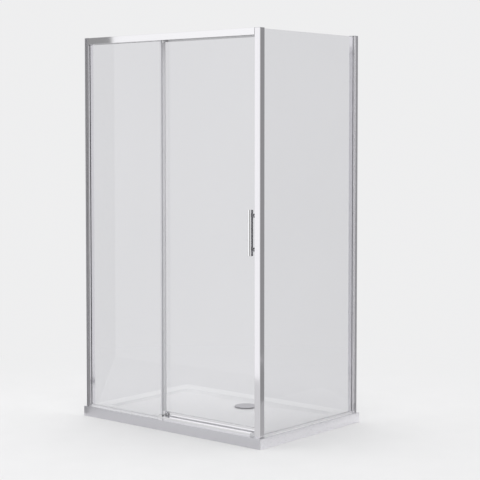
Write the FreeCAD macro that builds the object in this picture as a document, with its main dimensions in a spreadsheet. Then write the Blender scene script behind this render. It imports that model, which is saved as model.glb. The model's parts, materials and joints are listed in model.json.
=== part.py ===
import FreeCAD, Part
import os
import re
import Sketcher

# Corner shower enclosure with a sliding door, on a low rectangular tray.
# All lengths in mm. The origin is the middle of the tray's footprint, on the floor; Z is up.
# X runs along the front from the left wall to the corner post, Y runs from the front to the rear wall.

os.makedirs("parts", exist_ok=True)
doc = FreeCAD.newDocument("shower_enclosure")
sheet = doc.addObject("Spreadsheet::Sheet", "Sizes")
Vector = FreeCAD.Vector

SIZES = {
    # Tray and its metal edge
    "tray_width": 1200,
    "tray_depth": 800,
    "tray_height": 50,
    "fascia_wall": 3,
    "fascia_lip": 14,
    "fascia_lip_thickness": 2,
    "rim_width": 85,
    "recess_depth": 12,
    "recess_draft": 18,
    "recess_radius": 60,
    "floor_fall": 9,
    "sump_width": 132,
    "sump_radius": 50,
    # Waste fitting
    "waste_x": 0,
    "waste_y": 210,
    "flange_radius": 56,
    "flange_thickness": 3,
    "sleeve_radius": 42,
    "sleeve_wall": 4,
    "sleeve_clearance": 1,
    "sleeve_end": 3,
    "ledge_thickness": 8,
    "waste_pocket_radius": 75,
    "ring_thickness": 3,
    "ring_radius": 62,
    "nut_thickness": 8,
    "nut_radius": 58,
    "strainer_drop": 9,
    "strainer_shoulder": 4,
    "strainer_thickness": 2,
    "strainer_clearance": 0.3,
    "strainer_hole": 4.5,
    "strainer_hole_circle": 22,
    "strainer_holes": 10,
    "hub_radius": 8,
    "hub_fit": 0.05,
    "hub_socket_wall": 3,
    "cover_radius": 60,
    "cover_thickness": 3.5,
    "cover_gap": 3,
    "cover_chamfer": 1.5,
    "notch_width": 14,
    "notch_depth": 5,
    # Fixed frame
    "frame_height": 1925,
    "lining": 6,
    "setback": 14,
    "profile_wall": 2,
    "channel_width": 40,
    "channel_depth": 12,
    "channel_wall": 1.8,
    "wall_screw_radius": 3,
    "wall_screw_inset": 121,
    "wall_screws": 4,
    "slide_clearance": 0.2,
    "jamb_nested": 10,
    "jamb_shown": 14,
    "cap_thickness": 3,
    "cap_plug_depth": 10,
    "cap_plug_clearance": 0.3,
    "jamb_screw_x": 7,
    "jamb_screw_radius": 1.75,
    "jamb_screw_length": 6,
    "jamb_screw_head_radius": 3.6,
    "jamb_screw_head": 2,
    "jamb_screw_inset": 181,
    "jamb_screws": 3,
    "screw_clearance": 0.3,
    "glass_thickness": 6,
    "groove_offset": 8,
    "groove_depth": 10,
    "gasket_wall": 2,
    "gasket_recess": 1,
    "post_width": 34,
    "post_depth": 32,
    "post_groove": 12,
    "post_cap_thickness": 2,
    "leg_cover": 7,
    "edge_radius": 1.5,
    # Header rail and its tracks
    "header_back_room": 19,
    "header_height": 34,
    "header_groove": 16,
    "header_ledge": 1.5,
    "end_plate": 2,
    "slot_width": 18,
    "bead_offset": 12.5,
    "bead_width": 3,
    "bead_height": 2,
    "bracket_reach_left": 9,
    "bracket_reach_right": 20,
    "bracket_length": 46,
    "bracket_gap": 2,
    "header_screw_inset": 20,
    "header_screw_pitch": 16,
    "header_screw_radius": 1.8,
    "header_screw_head_radius": 3.4,
    "header_screw_head": 1.2,
    "header_screw_length": 10,
    "stop_length": 16,
    "stop_foot": 3.5,
    "buffer_radius": 4,
    "buffer_length": 4,
    "buffer_lift": 1,
    "rest_gap": 0.3,
    # Fixed glass, side glass and their seals
    "fixed_width": 520,
    "glass_lift": 3,
    "seal_height": 10,
    "side_glass_top": 4,
    "edge_seal_grip": 8,
    "edge_seal_wall": 1.5,
    "fin_gap": 0.4,
    "seal_end_gap": 1,
    "fin_end_gap": 4,
    # Threshold and guide
    "threshold_inset": 16,
    "threshold_setback": 1,
    "threshold_cover": 7,
    "threshold_height": 16,
    "threshold_wall": 1.8,
    "threshold_cap_left": 10,
    "threshold_cap_right": 28,
    "guide_grip": 24,
    "guide_length": 26,
    "guide_base": 4,
    "guide_clamp_height": 19,
    "guide_clamp_wall": 4,
    "guide_upright": 30,
    "guide_upright_wall": 2.5,
    "guide_pad_height": 18,
    "guide_pad_rise": 10,
    "guide_pad_inset": 3,
    "guide_gap": 0.4,
    "guide_pad_thickness": 2.1,
    "guide_screw_radius": 2,
    "guide_screw_length": 19,
    "guide_screw_head_radius": 3.8,
    "guide_screw_head": 2.5,
    "guide_screw_inset": 6,
    # Door
    "door_open_gap": 21,
    "door_gap": 22,
    "door_overlap": 11,
    "door_profile_wall": 3,
    "door_profile_rise": 10,
    "door_profile_web": 6,
    "door_profile_drop": 17,
    "door_sill_gap": 4,
    "door_bottom_profile_height": 16,
    "wiper_gap": 0.4,
    "wiper_root": 4,
    "wiper_tip": 2,
    "magnet_leg": 8,
    "magnet_wall": 1.6,
    "magnet_nose": 7,
    "strip_base": 2,
    "strip_thickness": 6.7,
    "strip_width": 12,
    "handle_inset": 20,
    "handle_rise": 855,
    "handle_length": 220,
    "handle_width": 22,
    "handle_depth": 26,
    "handle_radius": 8,
    "handle_end_radius": 2,
    "handle_standoff": 12.5,
    "boss_radius": 8,
    "boss_inset": 30,
    "boss_sunk": 1,
    "stud_radius": 4,
    "stud_embed": 12,
    "glass_hole_radius": 6,
    "washer_radius": 9.5,
    "washer_thickness": 1.5,
    # Roller carriages
    "roller_inset": 60,
    "carriage_length": 50,
    "carriage_width": 10,
    "carriage_height": 11,
    "carriage_boss_radius": 5,
    "carriage_boss_length": 4.4,
    "carriage_screw_offset": 17,
    "carriage_screw_radius": 2,
    "carriage_screw_depth": 5,
    "carriage_screw_head_radius": 3.8,
    "carriage_screw_head": 2.4,
    "axle_radius": 3,
    "axle_head_radius": 4.4,
    "axle_head": 0.8,
    "bearing_fit": 0.05,
    "bearing_radius": 5.5,
    "wheel_width": 5.6,
    "wheel_groove_width": 4.4,
    "wheel_tread_radius": 10,
    "wheel_flange_radius": 11.5,
    "wheel_side_gap": 0.2,
}

# Positions worked out from the sizes. "Front" lengths are counted inwards from the tray's front edge.
TOP = "(tray_height + frame_height)"
WASTE_FLOOR = "(tray_height - recess_depth - floor_fall)"
STRAINER_SEAT = f"({WASTE_FLOOR} - strainer_drop)"
FACE = "setback"
LEFT_WALL = "(lining - tray_width / 2)"
REAR_WALL = "(tray_depth / 2 - lining)"
PROFILE_TOP = "(tray_height + frame_height - cap_thickness)"
LEFT_FACE = "(lining - tray_width / 2 + channel_depth + jamb_shown)"
REAR_FACE = "(tray_depth / 2 - lining - channel_depth - jamb_shown)"
POST_RIGHT = "(tray_width / 2 - setback)"
POST_LEFT = "(tray_width / 2 - setback - post_width)"
POST_BACK = "(setback + post_depth)"
GROOVE_NEAR = "(setback + groove_offset)"
GLASS_NEAR = f"({GROOVE_NEAR} + gasket_wall)"
GLASS_FAR = f"({GLASS_NEAR} + glass_thickness)"
GROOVE_FAR = f"({GLASS_FAR} + gasket_wall)"
HEADER_FLOOR = "(tray_height + frame_height - header_height)"
HEADER_LEFT = f"({LEFT_FACE} + end_plate)"
HEADER_RIGHT = f"({POST_LEFT} - end_plate)"
FIXED_LEFT = f"({LEFT_FACE} - groove_depth + gasket_wall)"
FIXED_RIGHT = f"({FIXED_LEFT} + fixed_width)"
FIXED_TOP = f"({HEADER_FLOOR} + header_groove - gasket_wall)"
BRACKET_LOW = f"({HEADER_FLOOR} + header_groove + profile_wall + bracket_gap)"
BEAD_TOP = f"({HEADER_FLOOR} + profile_wall + bead_height)"
DOOR_FACE = f"({GLASS_FAR} + door_gap)"
DOOR_BACK = f"({DOOR_FACE} + glass_thickness)"
DOOR_MIDDLE = f"({DOOR_FACE} + glass_thickness / 2)"
DOOR_LEFT = f"({FIXED_RIGHT} - door_overlap)"
DOOR_RIGHT = f"({POST_LEFT} - strip_thickness - rest_gap - magnet_nose)"
DOOR_TRAVEL = f"({DOOR_LEFT} - {LEFT_FACE} - door_open_gap)"
DOOR_PROFILE_TOP = f"({HEADER_FLOOR} + door_profile_rise)"
DOOR_PROFILE_LOW = f"({DOOR_PROFILE_TOP} - door_profile_drop)"
DOOR_GLASS_TOP = f"({DOOR_PROFILE_TOP} - door_profile_web)"
DOOR_PROFILE_BOTTOM = "(tray_height + threshold_height + door_sill_gap)"
DOOR_BAND_TOP = f"({DOOR_PROFILE_BOTTOM} + door_bottom_profile_height)"
DOOR_GLASS_BOTTOM = f"({DOOR_PROFILE_BOTTOM} + door_profile_wall)"
FIN_LOW = f"({DOOR_BAND_TOP} + fin_end_gap)"
FIN_HIGH = f"({DOOR_PROFILE_LOW} - fin_end_gap)"
HANDLE_X = f"({DOOR_RIGHT} - handle_inset)"
HANDLE_BOTTOM = "(tray_height + handle_rise)"
GUIDE_LEFT = f"({FIXED_RIGHT} - guide_grip)"
GUIDE_RIGHT = f"({GUIDE_LEFT} + guide_length)"
ROLLER_X = {
    "left": f"({DOOR_LEFT} + roller_inset)",
    "right": f"({DOOR_RIGHT} - roller_inset)",
}
AXLE_HEIGHT = f"({BEAD_TOP} + rest_gap + wheel_tread_radius)"
BUFFER_HEIGHT = f"({DOOR_PROFILE_TOP} + carriage_height / 2 + buffer_lift)"
PLANES = {"X": "YZ_Plane", "Y": "XZ_Plane", "Z": "XY_Plane"}


def fill_sheet():
    """Write every size into the sheet as a named plain number."""
    for row, (name, number) in enumerate(SIZES.items(), start=1):
        sheet.set(f"A{row}", name)
        sheet.set(f"B{row}", str(number))
        sheet.setAlias(f"B{row}", name)
    doc.recompute()


def bound(text):
    """The same expression with each size name pointing into the sheet."""
    return re.sub(r"[a-z][a-z_]*", lambda found: "Sizes." + found.group(0), str(text))


def number(text):
    """The present value of an expression."""
    return float(sheet.evalExpression(bound(text)))


def rectangle(left, right, low, high):
    """Corner points of a rectangle."""
    return [(left, low), (right, low), (right, high), (left, high)]


def circle(across, up, radius):
    """A circle by its centre and radius."""
    return {"kind": "circle", "centre": (across, up), "radius": radius}


def rounded(left, right, low, high, radius):
    """A rectangle with rounded corners."""
    return {"kind": "rounded", "sides": (left, right, low, high), "radius": radius}


def fix_point(sketch, geometry, end, across, up):
    """Tie one sketch point to two expressions."""
    index = sketch.addConstraint(Sketcher.Constraint("DistanceX", geometry, end, number(across)))
    sketch.setExpression(f"Constraints[{index}]", bound(across))
    index = sketch.addConstraint(Sketcher.Constraint("DistanceY", geometry, end, number(up)))
    sketch.setExpression(f"Constraints[{index}]", bound(up))


def fix_radius(sketch, geometry, radius):
    """Tie the radius of a circle or an arc to an expression."""
    index = sketch.addConstraint(Sketcher.Constraint("Radius", geometry, number(radius)))
    sketch.setExpression(f"Constraints[{index}]", bound(radius))


def draw_polygon(sketch, points):
    """Straight sides between the given points."""
    first = sketch.GeometryCount
    count = len(points)
    places = [Vector(number(a), number(b), 0) for a, b in points]
    lines = [Part.LineSegment(places[i], places[(i + 1) % count]) for i in range(count)]
    sketch.addGeometry(lines, False)
    joins = [
        Sketcher.Constraint("Coincident", first + i, 2, first + (i + 1) % count, 1)
        for i in range(count)
    ]
    sketch.addConstraint(joins)
    for i, (across, up) in enumerate(points):
        fix_point(sketch, first + i, 1, across, up)


def draw_circle(sketch, shape):
    """One circle."""
    across, up = shape["centre"]
    index = sketch.GeometryCount
    centre = Vector(number(across), number(up), 0)
    sketch.addGeometry(Part.Circle(centre, Vector(0, 0, 1), number(shape["radius"])), False)
    fix_point(sketch, index, 3, across, up)
    fix_radius(sketch, index, shape["radius"])


def draw_rounded(sketch, shape):
    """Four sides and four corner arcs, tangent to each other."""
    left, right, low, high = shape["sides"]
    radius = shape["radius"]
    first = sketch.GeometryCount
    centres = [
        (f"{right} - {radius}", f"{low} + {radius}"),
        (f"{right} - {radius}", f"{high} - {radius}"),
        (f"{left} + {radius}", f"{high} - {radius}"),
        (f"{left} + {radius}", f"{low} + {radius}"),
    ]
    size = number(radius)
    middles = [Vector(number(a), number(b), 0) for a, b in centres]
    quarter = 1.5707963267948966
    arcs = []
    for i, middle in enumerate(middles):
        start = (i - 1) * quarter
        arcs.append(Part.ArcOfCircle(Part.Circle(middle, Vector(0, 0, 1), size), start, start + quarter))
    sides = [Part.LineSegment(arcs[i].EndPoint, arcs[(i + 1) % 4].StartPoint) for i in range(4)]
    sketch.addGeometry(arcs + sides, False)
    for i in range(4):
        sketch.addConstraint(Sketcher.Constraint("Tangent", first + i, 2, first + 4 + i, 1))
        sketch.addConstraint(Sketcher.Constraint("Tangent", first + 4 + i, 2, first + (i + 1) % 4, 1))
    for i, (across, up) in enumerate(centres):
        fix_point(sketch, first + i, 3, across, up)
        fix_radius(sketch, first + i, radius)


def draw(sketch, shapes):
    """Draw polygons, circles and rounded rectangles."""
    for shape in shapes:
        if isinstance(shape, list):
            draw_polygon(sketch, shape)
        elif shape["kind"] == "circle":
            draw_circle(sketch, shape)
        else:
            draw_rounded(sketch, shape)


def new_body(label, where="floor"):
    """An empty body placed at the floor origin, the front edge, the side edge or the waste."""
    body = doc.addObject("PartDesign::Body", label)
    body.Label = label
    if where == "side":
        turn = FreeCAD.Rotation(Vector(0, 0, 1), 90)
        body.Placement = FreeCAD.Placement(Vector(number("tray_width / 2"), 0, 0), turn)
        body.setExpression("Placement.Base.x", bound("tray_width / 2"))
    if where == "front":
        body.setExpression("Placement.Base.y", bound("-tray_depth / 2"))
    if where == "waste":
        body.setExpression("Placement.Base.x", bound("waste_x"))
        body.setExpression("Placement.Base.y", bound("waste_y"))
    return body


def new_sketch(body, axis, offset, shapes):
    """A sketch square to an axis of the body, at an offset along the plane's own normal."""
    sketch = body.newObject("Sketcher::SketchObject", body.Label + "_outline")
    plane = [item for item in body.Origin.OriginFeatures if item.Role == PLANES[axis]][0]
    sketch.AttachmentSupport = [(plane, "")]
    sketch.MapMode = "FlatFace"
    sketch.setExpression("AttachmentOffset.Base.z", bound(offset))
    draw(sketch, shapes)
    return sketch


def pad(body, axis, shapes, start, stop):
    """Add material along an axis between two positions."""
    offset = f"-({stop})" if axis == "Y" else start
    feature = body.newObject("PartDesign::Pad", body.Label + "_pad")
    feature.Profile = new_sketch(body, axis, offset, shapes)
    feature.setExpression("Length", bound(f"({stop}) - ({start})"))
    body.Tip = feature
    return feature


def cut(body, axis, shapes, start, stop):
    """Take material away along an axis between two positions."""
    offset = f"-({start})" if axis == "Y" else stop
    feature = body.newObject("PartDesign::Pocket", body.Label + "_cut")
    feature.Profile = new_sketch(body, axis, offset, shapes)
    feature.setExpression("Length", bound(f"({stop}) - ({start})"))
    feature.Reversed = False
    body.Tip = feature
    return feature


def turn(body, axis, shapes):
    """Revolve outlines round the body's own Z or Y axis; outlines are radius against height."""
    feature = body.newObject("PartDesign::Revolution", body.Label + "_turn")
    sketch = new_sketch(body, axis, "0", shapes)
    feature.Profile = sketch
    feature.ReferenceAxis = (sketch, ["V_Axis"])
    feature.Angle = 360
    body.Tip = feature
    return feature


def hollow_between(body, low_height, low_shape, high_height, high_shape):
    """Take away the space that runs from one outline up to another."""
    low = new_sketch(body, "Z", low_height, [low_shape])
    high = new_sketch(body, "Z", high_height, [high_shape])
    feature = body.newObject("PartDesign::SubtractiveLoft", body.Label + "_hollow")
    feature.Profile = low
    feature.Sections = [(high, [""])]
    feature.Ruled = True
    body.Tip = feature
    return feature


def soften(body, radius, chosen):
    """Round the edges whose middle point passes the given test."""
    doc.recompute()
    base = body.Tip
    names = []
    for index, edge in enumerate(base.Shape.Edges, start=1):
        span = edge.ParameterRange
        if chosen(edge, edge.valueAt((span[0] + span[1]) / 2)):
            names.append(f"Edge{index}")
    feature = body.newObject("PartDesign::Fillet", body.Label + "_rounding")
    feature.Base = (base, names)
    feature.setExpression("Radius", bound(radius))
    body.Tip = feature
    return feature


def near(value, expression):
    """True where a coordinate lies on the given position."""
    return abs(value - number(expression)) < 0.01


def build_tray():
    """Tray with a flat rim, a drafted recess, falls to the waste and a pocket for the waste below."""
    left, right = "-tray_width / 2", "tray_width / 2"
    front, rear = "-tray_depth / 2", "tray_depth / 2"
    body = new_body("shower_tray")
    outline = rectangle(left, f"{right} - fascia_wall", f"{front} + fascia_wall", rear)
    pad(body, "Z", [outline], "0", "tray_height")
    lip_ledge = [
        (left, f"{front}"),
        (right, f"{front}"),
        (right, rear),
        (f"{right} - fascia_lip", rear),
        (f"{right} - fascia_lip", f"{front} + fascia_lip"),
        (left, f"{front} + fascia_lip"),
    ]
    cut(body, "Z", [lip_ledge], "tray_height - fascia_lip_thickness", "tray_height")
    mouth = rounded(
        f"{left} + rim_width", f"{right} - rim_width",
        f"{front} + rim_width", f"{rear} - rim_width", "recess_radius",
    )
    inset = "rim_width + recess_draft"
    step = rounded(
        f"{left} + {inset}", f"{right} - ({inset})",
        f"{front} + {inset}", f"{rear} - ({inset})", "(recess_radius - recess_draft / 2)",
    )
    sump = rounded(
        "waste_x - sump_width / 2", "waste_x + sump_width / 2",
        "waste_y - sump_width / 2", "waste_y + sump_width / 2", "sump_radius",
    )
    step_height = "tray_height - recess_depth"
    hollow_between(body, step_height, step, "tray_height", mouth)
    hollow_between(body, WASTE_FLOOR, sump, step_height, step)
    flange = circle("waste_x", "waste_y", "flange_radius + sleeve_clearance")
    ledge_top = f"{WASTE_FLOOR} - flange_thickness"
    ledge_low = f"{ledge_top} - ledge_thickness"
    cut(body, "Z", [flange], ledge_top, "tray_height")
    cut(body, "Z", [circle("waste_x", "waste_y", "sleeve_radius + sleeve_clearance")], "0", "tray_height")
    cut(body, "Z", [circle("waste_x", "waste_y", "waste_pocket_radius")], "0", ledge_low)
    screw_depth = "tray_height + guide_base - guide_screw_length"
    cut(body, "Z", guide_screw_circles("guide_screw_radius", "-tray_depth / 2"), screw_depth, "tray_height")


def guide_screw_circles(radius, front="0"):
    """The two screws of the door guide."""
    clamp = f"{GLASS_FAR} + guide_clamp_wall"
    upright = f"{DOOR_FACE} - door_profile_wall - guide_gap - guide_pad_thickness - guide_upright_wall"
    across = f"({clamp} + {upright}) / 2"
    places = [f"{GUIDE_LEFT} + guide_screw_inset", f"{GUIDE_RIGHT} - guide_screw_inset"]
    return [circle(place, f"{front} + {across}", radius) for place in places]


def build_fascias():
    """Metal edge round the front and the side, mitred where the two meet."""
    section = [
        ("0", "0"),
        ("fascia_wall", "0"),
        ("fascia_wall", "tray_height - fascia_lip_thickness"),
        ("fascia_lip", "tray_height - fascia_lip_thickness"),
        ("fascia_lip", "tray_height"),
        ("0", "tray_height"),
    ]
    front = new_body("front_fascia", "front")
    pad(front, "X", [section], "-tray_width / 2", "tray_width / 2")
    corner = "tray_width / 2"
    mitre = [(corner, "0"), (corner, "fascia_lip"), (f"{corner} - fascia_lip", "fascia_lip")]
    cut(front, "Z", [mitre], "0", "tray_height")
    side = new_body("side_fascia", "side")
    pad(side, "X", [section], "-tray_depth / 2", "tray_depth / 2")
    corner = "-tray_depth / 2"
    mitre = [(corner, "0"), (f"{corner} + fascia_lip", "fascia_lip"), (corner, "fascia_lip")]
    cut(side, "Z", [mitre], "0", "tray_height")


def build_waste():
    """Flanged waste body, sealing ring, lock nut, strainer and cover."""
    under_flange = f"({WASTE_FLOOR} - flange_thickness)"
    under_ledge = f"({under_flange} - ledge_thickness)"
    bore = "sleeve_radius - sleeve_wall"
    waste = new_body("waste_body", "waste")
    section = [
        (f"{bore}", WASTE_FLOOR),
        (f"{bore}", STRAINER_SEAT),
        (f"{bore} - strainer_shoulder", STRAINER_SEAT),
        (f"{bore} - strainer_shoulder", f"{STRAINER_SEAT} - sleeve_wall"),
        (f"{bore}", f"{STRAINER_SEAT} - 2 * sleeve_wall"),
        (f"{bore}", "sleeve_end"),
        ("sleeve_radius", "sleeve_end"),
        ("sleeve_radius", under_flange),
        ("flange_radius", under_flange),
        ("flange_radius", WASTE_FLOOR),
    ]
    turn(waste, "Y", [section])
    ring = new_body("waste_seal_ring", "waste")
    ring_low = f"{under_ledge} - ring_thickness"
    turn(ring, "Y", [rectangle("sleeve_radius", "ring_radius", ring_low, under_ledge)])
    nut = new_body("waste_lock_nut", "waste")
    turn(nut, "Y", [rectangle("sleeve_radius", "nut_radius", f"{ring_low} - nut_thickness", ring_low)])
    strainer = new_body("waste_strainer", "waste")
    cover_low = f"({WASTE_FLOOR} + cover_gap)"
    section = [
        ("0", STRAINER_SEAT),
        (f"{bore} - strainer_clearance", STRAINER_SEAT),
        (f"{bore} - strainer_clearance", f"{STRAINER_SEAT} + strainer_thickness"),
        ("hub_radius", f"{STRAINER_SEAT} + strainer_thickness"),
        ("hub_radius", cover_low),
        ("0", cover_low),
    ]
    turn(strainer, "Y", [section])
    holes = cut(
        strainer, "Z", [circle("strainer_hole_circle", "0", "strainer_hole")],
        STRAINER_SEAT, f"{STRAINER_SEAT} + strainer_thickness",
    )
    pattern = strainer.newObject("PartDesign::PolarPattern", "strainer_ring")
    pattern.Originals = [holes]
    pattern.Axis = (holes.Profile[0], ["N_Axis"])
    pattern.Angle = 360
    pattern.setExpression("Occurrences", bound("strainer_holes"))
    strainer.Tip = pattern
    cover = new_body("drain_cover", "waste")
    socket = "hub_radius + hub_fit"
    top = f"{cover_low} + cover_thickness"
    section = [
        ("0", cover_low),
        (socket, cover_low),
        (socket, f"{STRAINER_SEAT} + 2 * strainer_thickness"),
        (f"{socket} + hub_socket_wall", f"{STRAINER_SEAT} + 2 * strainer_thickness"),
        (f"{socket} + hub_socket_wall", cover_low),
        ("cover_radius", cover_low),
        ("cover_radius", f"{top} - cover_chamfer"),
        ("cover_radius - cover_chamfer", top),
        ("0", top),
    ]
    turn(cover, "Y", [section])
    notch = rectangle(
        "-notch_width / 2", "notch_width / 2",
        "-cover_radius - notch_depth", "notch_depth - cover_radius",
    )
    cut(cover, "Z", [notch], cover_low, top)


def spread(count, inset):
    """Heights spaced evenly between two insets from the ends of the upright profiles."""
    low = f"(tray_height + {inset})"
    pitch = f"(({PROFILE_TOP} - {inset}) - {low}) / ({count} - 1)"
    return [f"{low} + {i} * {pitch}" for i in range(round(number(count)))]


def wall_set(side, where, wall, sign):
    """Wall channel, glazing jamb, its gasket, fixing screws and cap at one end of a glass panel."""
    def out(distance):
        return f"{wall} {sign} ({distance})"

    near_face, far_face = FACE, f"{FACE} + channel_width"
    channel = new_body(f"{side}_wall_channel", where)
    section = [
        (wall, near_face),
        (out("channel_depth"), near_face),
        (out("channel_depth"), f"{near_face} + channel_wall"),
        (out("channel_wall"), f"{near_face} + channel_wall"),
        (out("channel_wall"), f"{far_face} - channel_wall"),
        (out("channel_depth"), f"{far_face} - channel_wall"),
        (out("channel_depth"), far_face),
        (wall, far_face),
    ]
    pad(channel, "Z", [section], "tray_height", PROFILE_TOP)
    middle = f"{FACE} + channel_width / 2"
    heights = spread("wall_screws", "wall_screw_inset")
    low, high = sorted([wall, out("channel_wall")], key=number)
    cut(channel, "X", [circle(middle, height, "wall_screw_radius") for height in heights], low, high)
    screw_heights = spread("jamb_screws", "jamb_screw_inset")
    screw_line = out("jamb_screw_x")
    wide = [circle(screw_line, z, "jamb_screw_radius + screw_clearance") for z in screw_heights]
    tight = [circle(screw_line, z, "jamb_screw_radius") for z in screw_heights]
    cut(channel, "Y", wide, f"{far_face} - channel_wall", far_face)

    jamb = new_body(f"{side}_jamb", where)
    back = "channel_depth - jamb_nested"
    front = "channel_depth + jamb_shown"
    inner = f"{near_face} + channel_wall + slide_clearance"
    outer = f"{far_face} - channel_wall - slide_clearance"
    section = [
        (out(back), inner),
        (out(front), inner),
        (out(front), GROOVE_NEAR),
        (out(f"{front} - groove_depth"), GROOVE_NEAR),
        (out(f"{front} - groove_depth"), GROOVE_FAR),
        (out(front), GROOVE_FAR),
        (out(front), outer),
        (out(back), outer),
    ]
    hollow = [
        (out(f"{back} + profile_wall"), f"{inner} + profile_wall"),
        (out(f"{front} - groove_depth - profile_wall"), f"{inner} + profile_wall"),
        (out(f"{front} - groove_depth - profile_wall"), f"{GROOVE_FAR} + profile_wall"),
        (out(f"{front} - profile_wall"), f"{GROOVE_FAR} + profile_wall"),
        (out(f"{front} - profile_wall"), f"{outer} - profile_wall"),
        (out(f"{back} + profile_wall"), f"{outer} - profile_wall"),
    ]
    pad(jamb, "Z", [section, hollow], "tray_height", PROFILE_TOP)
    cut(jamb, "Y", tight, f"{outer} - profile_wall", outer)

    screws = new_body(f"{side}_jamb_screws", where)
    pad(screws, "Y", tight, f"{far_face} - jamb_screw_length", far_face)
    heads = [circle(screw_line, z, "jamb_screw_head_radius") for z in screw_heights]
    pad(screws, "Y", heads, far_face, f"{far_face} + jamb_screw_head")

    gasket = new_body(f"{side}_glass_gasket", where)
    deep = f"{front} - groove_depth"
    section = [
        (out(deep), GROOVE_NEAR),
        (out(f"{front} - gasket_recess"), GROOVE_NEAR),
        (out(f"{front} - gasket_recess"), GLASS_NEAR),
        (out(f"{deep} + gasket_wall"), GLASS_NEAR),
        (out(f"{deep} + gasket_wall"), GLASS_FAR),
        (out(f"{front} - gasket_recess"), GLASS_FAR),
        (out(f"{front} - gasket_recess"), GROOVE_FAR),
        (out(deep), GROOVE_FAR),
    ]
    gasket_top = f"{FIXED_TOP}" if side == "left" else f"{TOP} - side_glass_top"
    pad(gasket, "Z", [section], "tray_height", gasket_top)

    cap = new_body(f"{side}_profile_cap", where)
    low, high = sorted([wall, out(front)], key=number)
    pad(cap, "Z", [rectangle(low, high, near_face, far_face)], PROFILE_TOP, TOP)
    gap = "(profile_wall + cap_plug_clearance)"
    ends = [out(f"{back} + {gap}"), out(f"{deep} - {gap}")]
    low, high = sorted(ends, key=number)
    plug = rectangle(low, high, f"{inner} + {gap}", f"{outer} - {gap}")
    pad(cap, "Z", [plug], f"{PROFILE_TOP} - cap_plug_depth", PROFILE_TOP)
    if side == "left":
        room = rectangle(out(deep), out(front), GROOVE_NEAR, GROOVE_FAR)
        cut(cap, "Z", [room], PROFILE_TOP, f"{TOP} - profile_wall")


def build_post():
    """Corner post with the side panel's groove and a leg that carries the closing strip."""
    groove_left = f"(tray_width / 2 - {GROOVE_FAR})"
    groove_right = f"(tray_width / 2 - {GROOVE_NEAR})"
    leg_right = f"({groove_left} - profile_wall)"
    leg_end = f"({DOOR_MIDDLE} + leg_cover)"
    body = new_body("corner_post", "front")
    section = [
        (POST_LEFT, FACE),
        (POST_RIGHT, FACE),
        (POST_RIGHT, POST_BACK),
        (groove_right, POST_BACK),
        (groove_right, f"{POST_BACK} - post_groove"),
        (groove_left, f"{POST_BACK} - post_groove"),
        (groove_left, POST_BACK),
        (leg_right, POST_BACK),
        (leg_right, leg_end),
        (POST_LEFT, leg_end),
    ]
    wall = "profile_wall"
    floor = f"{POST_BACK} - post_groove - {wall}"
    hollow = [
        (f"{POST_LEFT} + {wall}", f"{FACE} + {wall}"),
        (f"{POST_RIGHT} - {wall}", f"{FACE} + {wall}"),
        (f"{POST_RIGHT} - {wall}", f"{POST_BACK} - {wall}"),
        (f"{groove_right} + {wall}", f"{POST_BACK} - {wall}"),
        (f"{groove_right} + {wall}", floor),
        (f"{leg_right} - {wall}", floor),
        (f"{leg_right} - {wall}", f"{leg_end} - {wall}"),
        (f"{POST_LEFT} + {wall}", f"{leg_end} - {wall}"),
    ]
    pad(body, "Z", [section, hollow], "tray_height", f"{TOP} - post_cap_thickness")
    window = rectangle(
        GROOVE_NEAR, GROOVE_FAR,
        BRACKET_LOW, f"{TOP} - profile_wall",
    )
    cut(body, "X", [window], POST_LEFT, f"{POST_LEFT} + {wall}")
    soften(
        body, "edge_radius",
        lambda edge, p: edge.Length > number("frame_height / 2")
        and near(p.y, FACE) and (near(p.x, POST_LEFT) or near(p.x, POST_RIGHT)),
    )
    cap = new_body("corner_post_cap", "front")
    outline = [
        (POST_LEFT, FACE),
        (POST_RIGHT, FACE),
        (POST_RIGHT, POST_BACK),
        (leg_right, POST_BACK),
        (leg_right, leg_end),
        (POST_LEFT, leg_end),
    ]
    pad(cap, "Z", [outline], f"{TOP} - post_cap_thickness", TOP)
    gap = "(profile_wall + cap_plug_clearance)"
    plug = rectangle(
        f"{POST_LEFT} + bracket_reach_right + cap_plug_clearance", f"{POST_RIGHT} - {gap}",
        f"{FACE} + {gap}", f"{floor} - cap_plug_clearance",
    )
    pad(cap, "Z", [plug], f"{TOP} - cap_thickness - cap_plug_depth", f"{TOP} - post_cap_thickness")
    strip = new_body("post_magnetic_strip", "front")
    low = f"{DOOR_MIDDLE} - strip_width / 2"
    high = f"{DOOR_MIDDLE} + strip_width / 2"
    nose = f"{POST_LEFT} - strip_thickness"
    section = [
        (POST_LEFT, low),
        (POST_LEFT, high),
        (f"{POST_LEFT} - strip_base", high),
        (f"{POST_LEFT} - strip_base", f"{high} - strip_base"),
        (nose, f"{high} - strip_base"),
        (nose, f"{low} + strip_base"),
        (f"{POST_LEFT} - strip_base", f"{low} + strip_base"),
        (f"{POST_LEFT} - strip_base", low),
    ]
    pad(strip, "Z", [section], "tray_height + threshold_height + seal_end_gap", HEADER_FLOOR)


def header_screw_places():
    """Positions of the four bracket screws and of the two stop screws along the rail."""
    groove = f"({GROOVE_NEAR} + {GROOVE_FAR}) / 2"
    left = f"{HEADER_LEFT} + header_screw_inset"
    right = f"{HEADER_RIGHT} - header_screw_inset"
    brackets = [
        (left, groove),
        (f"{left} + header_screw_pitch", groove),
        (right, groove),
        (f"{right} - header_screw_pitch", groove),
    ]
    stops = [(f"({ends[0]} + {ends[1]}) / 2", DOOR_MIDDLE) for ends in stop_ends()]
    return brackets, stops


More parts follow.
